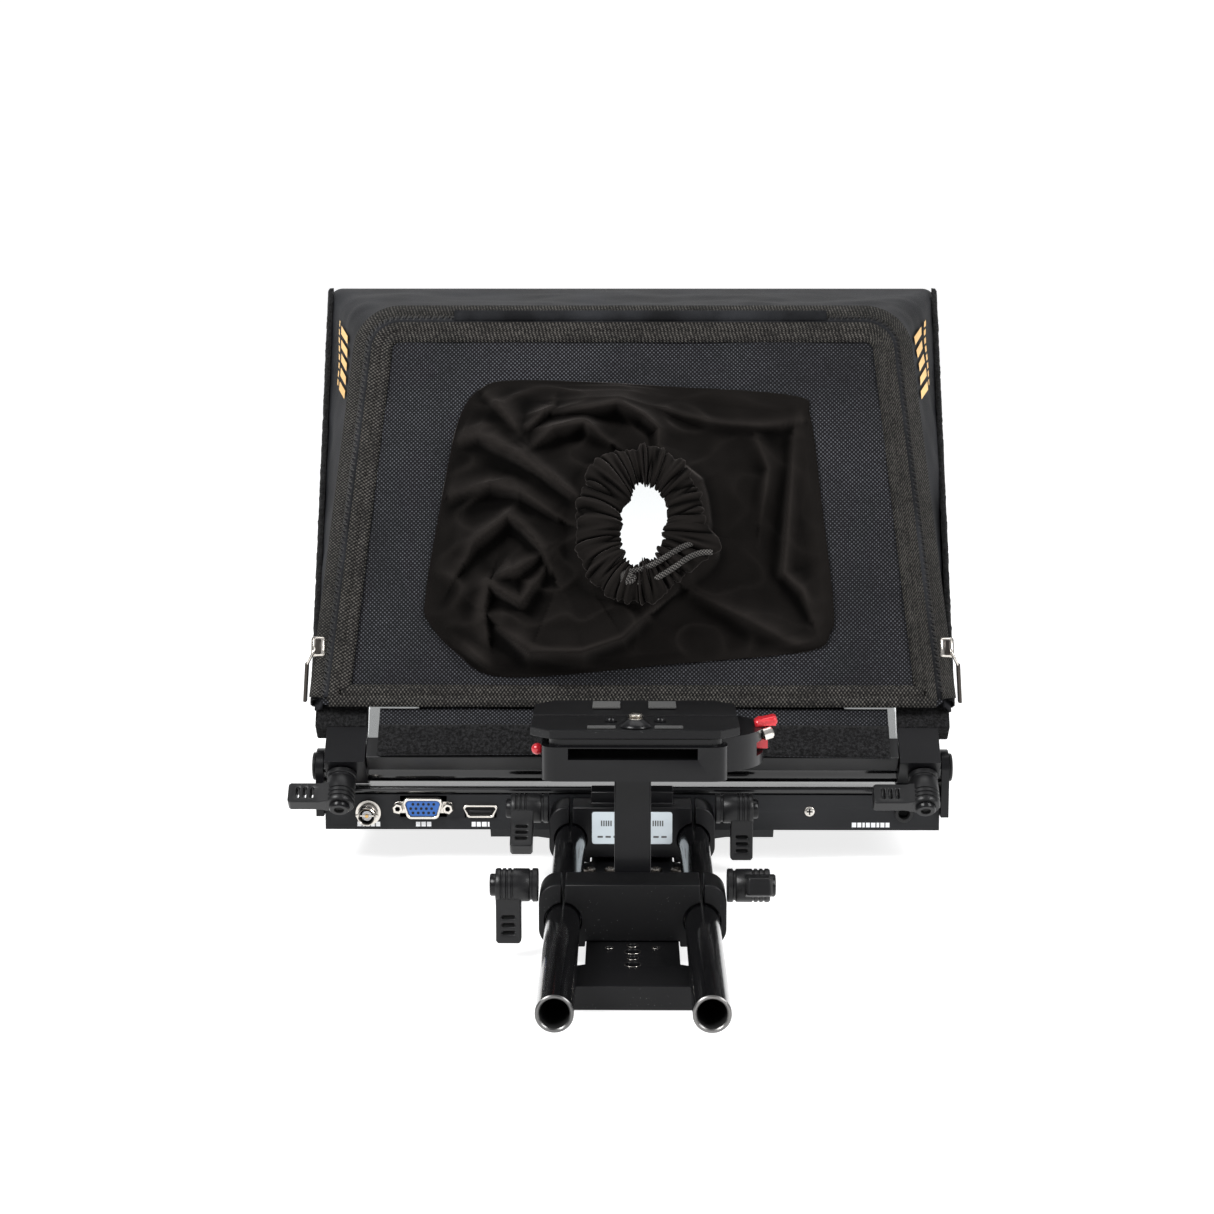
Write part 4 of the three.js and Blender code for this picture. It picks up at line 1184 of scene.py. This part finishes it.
def make_coil(mats):
    """The zip's coil: one small slanted block for each turn, leaning left and right by turns."""
    path = rear_outline(0.2, 6)
    work = bmesh.new()
    pitch, travelled, turn = 1.6, 0.0, 0
    size = (1.25, 0.40, 0.55)
    sides = ((0, 1, 3, 2), (4, 6, 7, 5), (0, 4, 5, 1), (2, 3, 7, 6), (0, 2, 6, 4), (1, 5, 7, 3))
    for (x0, s0), (x1, s1) in zip(path, path[1:]):
        length = math.hypot(x1 - x0, s1 - s0)
        if length < 1e-6:
            continue
        along = ((x1 - x0) / length, (s1 - s0) / length)
        side = (-along[1], along[0])
        while travelled < length:
            turn += 1
            x, s = x0 + along[0] * travelled, s0 + along[1] * travelled
            lean = 0.45 if turn % 2 else -0.45
            corners = []
            for a, b, c in itertools.product((-1, 1), repeat=3):
                q, p = size[0] * a + lean, size[1] * b + 0.55 * a
                place = (x + side[0] * q + along[0] * p, s + side[1] * q + along[1] * p)
                corners.append(work.verts.new(on_rear(*place, 1.5 + size[2] * c) * MM))
            for face in sides:
                work.faces.new([corners[k] for k in face])
            travelled += pitch
        travelled -= length
    bmesh.ops.recalc_face_normals(work, faces=work.faces)
    coil = link("zip_coil", mesh_of(work, "zip_coil"), [mats["coil"]])
    return settle(coil, "glass_frame")


# The gathered neck: its middle at x and s, t off the rear panel, and its half width and half height.
NECK = {"x": 5, "s": 84, "t": 31, "wide": 13.5, "high": 23.5}
# Folds of the sock: height, widths of the gentle and the steep side, and the crest's (x, s) points.
FOLDS = (
    (11, 13, 2.6, [(-88, 136), (-77, 135), (-62, 125), (-40, 108), (-30, 101)]),
    (7, 9, 2.4, [(-75, 160), (-64, 146), (-56, 134)]),
    (7, 8, 2.4, [(-57, 134), (-40, 150), (-39, 155)]),
    (10, 11, 2.6, [(-54, 124), (-39, 136), (-25, 139), (-11, 130)]),
    (9, 12, 2.4, [(-53, 124), (-45, 115), (-35, 105), (-25, 98)]),
    (12, 14, 2.8, [(-39, 146), (-23, 147), (-8, 149), (5, 144), (13, 138), (13, 128)]),
    (11, 15, 2.8, [(-91, 107), (-71, 108), (-55, 102), (-37, 91)]),
    (10, 12, 2.6, [(-84, 71), (-79, 79), (-62, 91), (-54, 86), (-45, 74), (-40, 64)]),
    (10, 11, 2.6, [(-72, 58), (-57, 63), (-45, 72)]),
    (9, 10, 2.4, [(-72, 34), (-74, 44), (-71, 57), (-55, 47), (-44, 64)]),
    (13, 18, 2.8, [(-66, 37), (-50, 23), (-25, 23), (-5, 30), (7, 41)]),
    (8, 16, 3, [(29, 55), (48, 47), (70, 36), (87, 27)]),
    (6, 8, 2.4, [(-39, 155), (-11, 153), (16, 150), (39, 146), (66, 145), (86, 147)]),
    (7, 9, 2.6, [(82, 139), (81, 123), (79, 98), (76, 68), (86, 58), (90, 44)]),
    (6, 7, 2.4, [(-88, 30), (-79, 24), (-69, 17)]),
    (5, 8, 3, [(63, 139), (69, 123), (65, 96)]),
)


def neck_point(angle, grow=0.0, t=0.0):
    """A point round the gathered neck: an uneven opening, narrower at its foot."""
    narrow = 1 - 0.14 * max(0.0, -math.sin(angle)) ** 2 + 0.04 * math.sin(3 * angle + 0.6)
    reach = grow * (1 + 0.10 * math.cos(angle - 2.9) + 0.5 * math.exp(-((angle - 6.05) / 0.22) ** 2))
    x = NECK["x"] + (NECK["wide"] * narrow + reach) * math.cos(angle) + 1.8 * math.sin(angle)
    s = NECK["s"] + (NECK["high"] * narrow + reach) * math.sin(angle)
    return on_rear(x, s, NECK["t"] + t)


def fold_height(x, s):
    """Height of the folds at (x, s): each crest falls gently one way and sharply the other."""
    total = np.zeros_like(x)
    for height, gentle, steep, crest in FOLDS:
        best = np.full_like(x, 1e9)
        side = np.zeros_like(x)
        along = np.zeros_like(x)
        lengths = [math.dist(a, b) for a, b in zip(crest, crest[1:])]
        travelled = 0.0
        for (x0, s0), (x1, s1), length in zip(crest, crest[1:], lengths):
            dx, ds = (x1 - x0) / length, (s1 - s0) / length
            run = np.clip((x - x0) * dx + (s - s0) * ds, 0, length)
            away = np.hypot(x - x0 - run * dx, s - s0 - run * ds)
            nearer = away < best
            best = np.where(nearer, away, best)
            side = np.where(nearer, (s - s0) * dx - (x - x0) * ds, side)
            along = np.where(nearer, (travelled + run) / sum(lengths), along)
            travelled += length
        width = np.where(side > 0, gentle, steep) * 0.85
        swell = 0.45 + 0.55 * np.sin(np.pi * np.clip(along, 0.02, 0.98))
        ridge = 1.5 * height * swell * np.exp(-((best / width) ** 1.15))
        total = np.maximum(total, ridge) + 0.25 * np.minimum(total, ridge)
    return total


def make_sock(mats):
    """The velvet sock, in rings from its edge under the rear panel to the gathered neck."""
    count, rings = 420, 90
    outline = by_angle(closed_spline(SOCK_EDGE, 240), SOCK_CENTRE, count)
    angles = np.linspace(0, 2 * np.pi, count, endpoint=False)
    edge = np.array(outline)
    grown = np.array(SOCK_CENTRE) + (edge - np.array(SOCK_CENTRE)) * 1.02
    ends = [neck_point(angle, 11, 0) for angle in angles]
    ring = np.array([(p.x, (p - REAR_ORIGIN).dot(UP_REAR)) for p in ends])
    rows, heights = [], []
    for j in range(rings + 1):
        f = j / rings
        x = grown[:, 0] + (ring[:, 0] - grown[:, 0]) * f
        s = grown[:, 1] + (ring[:, 1] - grown[:, 1]) * f
        right = np.clip(np.cos(angles - 0.1), 0, 1) ** 1.5
        rise = f ** (1.1 + 3.0 * right)
        hollow = -9 * right * math.sin(math.pi * min(1, f * 1.15)) ** 0.7 * (f < 0.87)
        band = min(1.0, f * 6)
        slow = np.array([noise.fractal(Vector((a * 0.02, b * 0.02, 3.0)), 0.8, 2.0, 3)
                         for a, b in zip(x, s)])
        fine = np.array([noise.noise(Vector((a * 0.035, b * 0.05, 8.0))) for a, b in zip(x, s)])
        creases = 3.5 * (1 - np.abs(fine)) ** 5 * (1 - 0.75 * right)
        t = 1.6 + band * (20 * rise + hollow + 1.6 * slow + creases) + min(1.0, f * 14) * fold_height(x, s)
        tucked = min(1.0, max(0.0, (f - 0.84) / 0.14))
        heights.append(np.minimum(t, 40) * (1 - tucked) + NECK["t"] * tucked)
        rows.append([on_rear(a, b, c) for a, b, c in zip(x, s, heights[-1])])
    sock = grid_mesh("velvet_sock", rows, [mats["velvet"]], closed=True)
    # painted highlight on the folds' crests and painted shade in their hollows
    paint_fold_light(sock, np.array(heights), 8, 4.4)
    thicken(sock, 1.0, 0.0)
    settle(sock, "glass_frame", ["lens_sock"])
    make_neck(mats)


def make_neck(mats):
    """The gathered casing round the neck: a fat ruffled ring, pleated by the drawstring inside it."""
    count, around, pleats = 1200, 28, 10
    rows, crests = [], []
    for k in range(around + 1):
        phase = 2 * math.pi * k / around
        row, crest = [], []
        for i in range(count):
            angle = 2 * math.pi * i / count
            slow = noise.noise(Vector((math.cos(angle) * 2.2, math.sin(angle) * 2.2, 7.0)))
            drift = 2.0 + 0.35 * math.cos(phase)
            quick = noise.noise(Vector((math.cos(angle) * 9, math.sin(angle) * 9, drift)))
            twist = 2.0 * slow + 1.1 * quick + 0.35 * math.sin(phase)
            lobe = abs(math.sin(angle * pleats + 2.2 * twist)) ** 0.55
            depth = (3.2 + 2.6 * quick) * (lobe - 0.62)
            wide = 9.4 * (1 + 0.38 * slow) + depth * 0.9
            high = 6.2 * (1 + 0.25 * slow + 0.2 * quick) + depth
            grow = 8.2 - wide * math.cos(phase)
            crest.append(lobe)
            row.append(neck_point(angle, grow + 0.6 * quick, high * math.sin(phase) + 2.2 * slow + 1.0))
        rows.append(row)
        crests.append(crest)
    neck = grid_mesh("neck_gathers", rows, [mats["velvet"]], closed=True)
    # painted highlight on the pleats' crests and painted shade between them
    paint_fold_light(neck, np.array(crests), 16, 0.8)
    settle(neck, "glass_frame")


def make_flap(mats):
    """The flap hanging at the hood's foot, and the loop band along its lower part."""
    rows = []
    bottom, top = -8, 18.5
    left, span = -125.7, 252.7
    for k in range(15):
        f = k / 14
        u = top + (bottom - top) * f
        row = []
        for i in range(121):
            x = left + span * i / 120
            sag = 1.5 * math.sin(math.pi * i / 120) * f
            wave = 0.8 * noise.noise(Vector((x * 0.03, f, 4)))
            tilt = 1.2 * f * (x - left) / span
            row.append(on_frame(x, u + sag - tilt, FOOT_N + 3.2 - 1.6 * f + wave))
        rows.append(row)
    flap = grid_mesh("flap_cloth", rows, [mats["weave"]])
    thicken(flap, 1.2, 0.0)
    settle(flap, "glass_frame", ["hood_flap"])
    pile = [[p + OFF_REAR * 1.1 for p in row] for row in rows[5:]]
    band = grid_mesh("flap_loop_band", pile, [mats["loops"]])
    thicken(band, 0.9, 0.0)
    settle(band, "glass_frame")


# ---- drawstring ----
# Each strand from the knot to where it leaves the casing, as (x, s, t) points on the rear panel.
STRANDS = {
    "upper": [(-3, 60, 36.2), (3, 60.5, 37.6), (9, 62.5, 39), (16, 66.5, 39.6), (23, 71, 39.2),
              (29, 74, 37.6), (34, 75, 36)],
    "lower": [(1, 54, 36.2), (7, 54.5, 37.4), (14, 57.5, 38.6), (21, 62, 39), (28, 67, 38.4),
              (34, 69.5, 37), (39, 70, 35.8)],
}


def circle(middle, across, over, radius, sides, closed=False):
    """Points round a circle in the plane of two directions; closed repeats the first one at the end."""
    points = []
    for k in range(sides + closed):
        angle = 2 * math.pi * k / sides
        points.append(middle + (across * math.cos(angle) + over * math.sin(angle)) * radius)
    return points


def tube_along(name, points, radius, material, sides=16, steps=8):
    """A round tube on a smooth curve through the points, with flat coordinates for the braid."""
    dense = []
    size = len(points)
    for i in range(size - 1):
        four = [points[min(max(i + k, 0), size - 1)] for k in (-1, 0, 1, 2)]
        dense += [spline(*four, k / steps) for k in range(steps)]
    dense.append(points[-1])
    rows = []
    for i, point in enumerate(dense):
        along = (dense[min(i + 1, len(dense) - 1)] - dense[max(i - 1, 0)]).normalized()
        side = along.cross(OFF_REAR).normalized()
        rows.append(circle(point, side, side.cross(along), radius, sides))
    piece = grid_mesh(name, rows, [material], closed=True)
    work = bmesh.new()
    work.from_mesh(piece.data)
    bmesh.ops.holes_fill(work, edges=[edge for edge in work.edges if edge.is_boundary])
    bmesh.ops.recalc_face_normals(work, faces=work.faces)
    work.to_mesh(piece.data)
    work.free()
    length = sum((b - a).length for a, b in zip(dense, dense[1:])) * MM
    return piece, dense, length


def make_drawstring(mats):
    for which, route in STRANDS.items():
        points = [on_rear(*p) for p in reversed(route)]
        piece, dense, length = tube_along(f"drawstring_{which}_braid", points, 1.45, mats["cord"])
        settle(piece, "glass_frame", [f"drawstring_{which}"])
        with_pieces = [make_knot(mats)] if which == "upper" else []


def make_knot(mats):
    """The overhand knot at the strands' far end: three crossed loops of the same braid."""
    loops = []
    middle = on_rear(-2.2, 56.8, 37.0)
    for turn, lean, size in ((0.3, 0.5, 3.0), (1.9, -0.6, 2.7), (1.1, 1.2, 2.4)):
        across = (Vector((1, 0, 0)) * math.cos(turn) + UP_REAR * math.sin(turn)).normalized()
        over = across.cross(OFF_REAR).normalized() * math.cos(lean) + OFF_REAR * math.sin(lean)
        ring = circle(middle, across, over, size, 12, closed=True)
        loops.append(tube_along("loop", ring, 1.4, mats["cord"], 12, 4)[0])
    return settle(merged("drawstring_knot", loops), "glass_frame")


# ---- zip pulls ----
def make_slider(mats, side):
    """A zip slider: a domed body and a raised bridge."""
    node = f"{side}_zip_slider"
    low, high = (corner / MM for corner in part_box(node))
    middle = (low + high) / 2 + OFF_REAR * 2.4
    lean = Matrix((Vector((1, 0, 0)), UP_REAR, OFF_REAR)).transposed()
    body = block("body", (-3.6, -5.2, -1.6), (3.6, 5.2, 1.6), [mats["nickel"]], 1.3, lean, middle)
    bridge = block("bridge", (-1.5, -4.2, 1.2), (1.5, 3.6, 2.7), [mats["gunmetal"]], 0.6, lean, middle)
    settle(merged(f"{side}_slider_body", [body, bridge]), node, [node])


def make_pull(mats, side, sign):
    """A slider's pull: a wire loop through the bridge, and a flat tab hanging from the loop."""
    node = f"{side}_pull_tab"
    low, high = (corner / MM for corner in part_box(node))
    x, y = (low.x + high.x) / 2, (low.y + high.y) / 2
    inner = Vector((x - sign * 4.2, y - 1.2, high.z - 0.6))
    outer = Vector((x, y - 0.4, high.z - 9.0))
    loop = circle((inner + outer) / 2, Vector((0, 2.1, 0)), (outer - inner) / 2, 1, 24)
    wire = ring_tube("wire", loop, 0.6, mats["nickel"])
    hang = Matrix.Rotation(math.radians(-sign * 4), 3, "Y")
    tab = block("tab", (-0.9, low.y + 0.2 - y, low.z + 8 - high.z), (0.9, high.y - 0.2 - y, 0),
                [mats["gunmetal"]], 0.45, hang, Vector((x, y, high.z - 7.8)))
    settle(merged(f"{side}_pull_body", [wire, tab]), node, [node])


def ring_tube(name, ring, radius, material, sides=12):
    """A round tube along a closed ring of points."""
    count = len(ring)
    centre = sum(ring, Vector()) / count
    rows = []
    for i, point in enumerate(ring + ring[:1]):
        along = (ring[(i + 1) % count] - ring[(i - 1) % count]).normalized()
        out = (point - centre).normalized()
        side = along.cross(out).normalized()
        rows.append(circle(point, out, side, radius, sides))
    return grid_mesh(name, rows, [material], closed=True)


make_camera()
materials = make_materials()
make_drawstring(materials)
make_studio()
make_rods(materials)
make_structure(materials)
make_levers(materials)
make_platform(materials)
make_monitor(materials)
make_hood_shell(materials)
make_rear_panel(materials)
make_sock(materials)
make_flap(materials)
for name, way in (("left", -1), ("right", 1)):
    make_slider(materials, name)
    make_pull(materials, name, way)
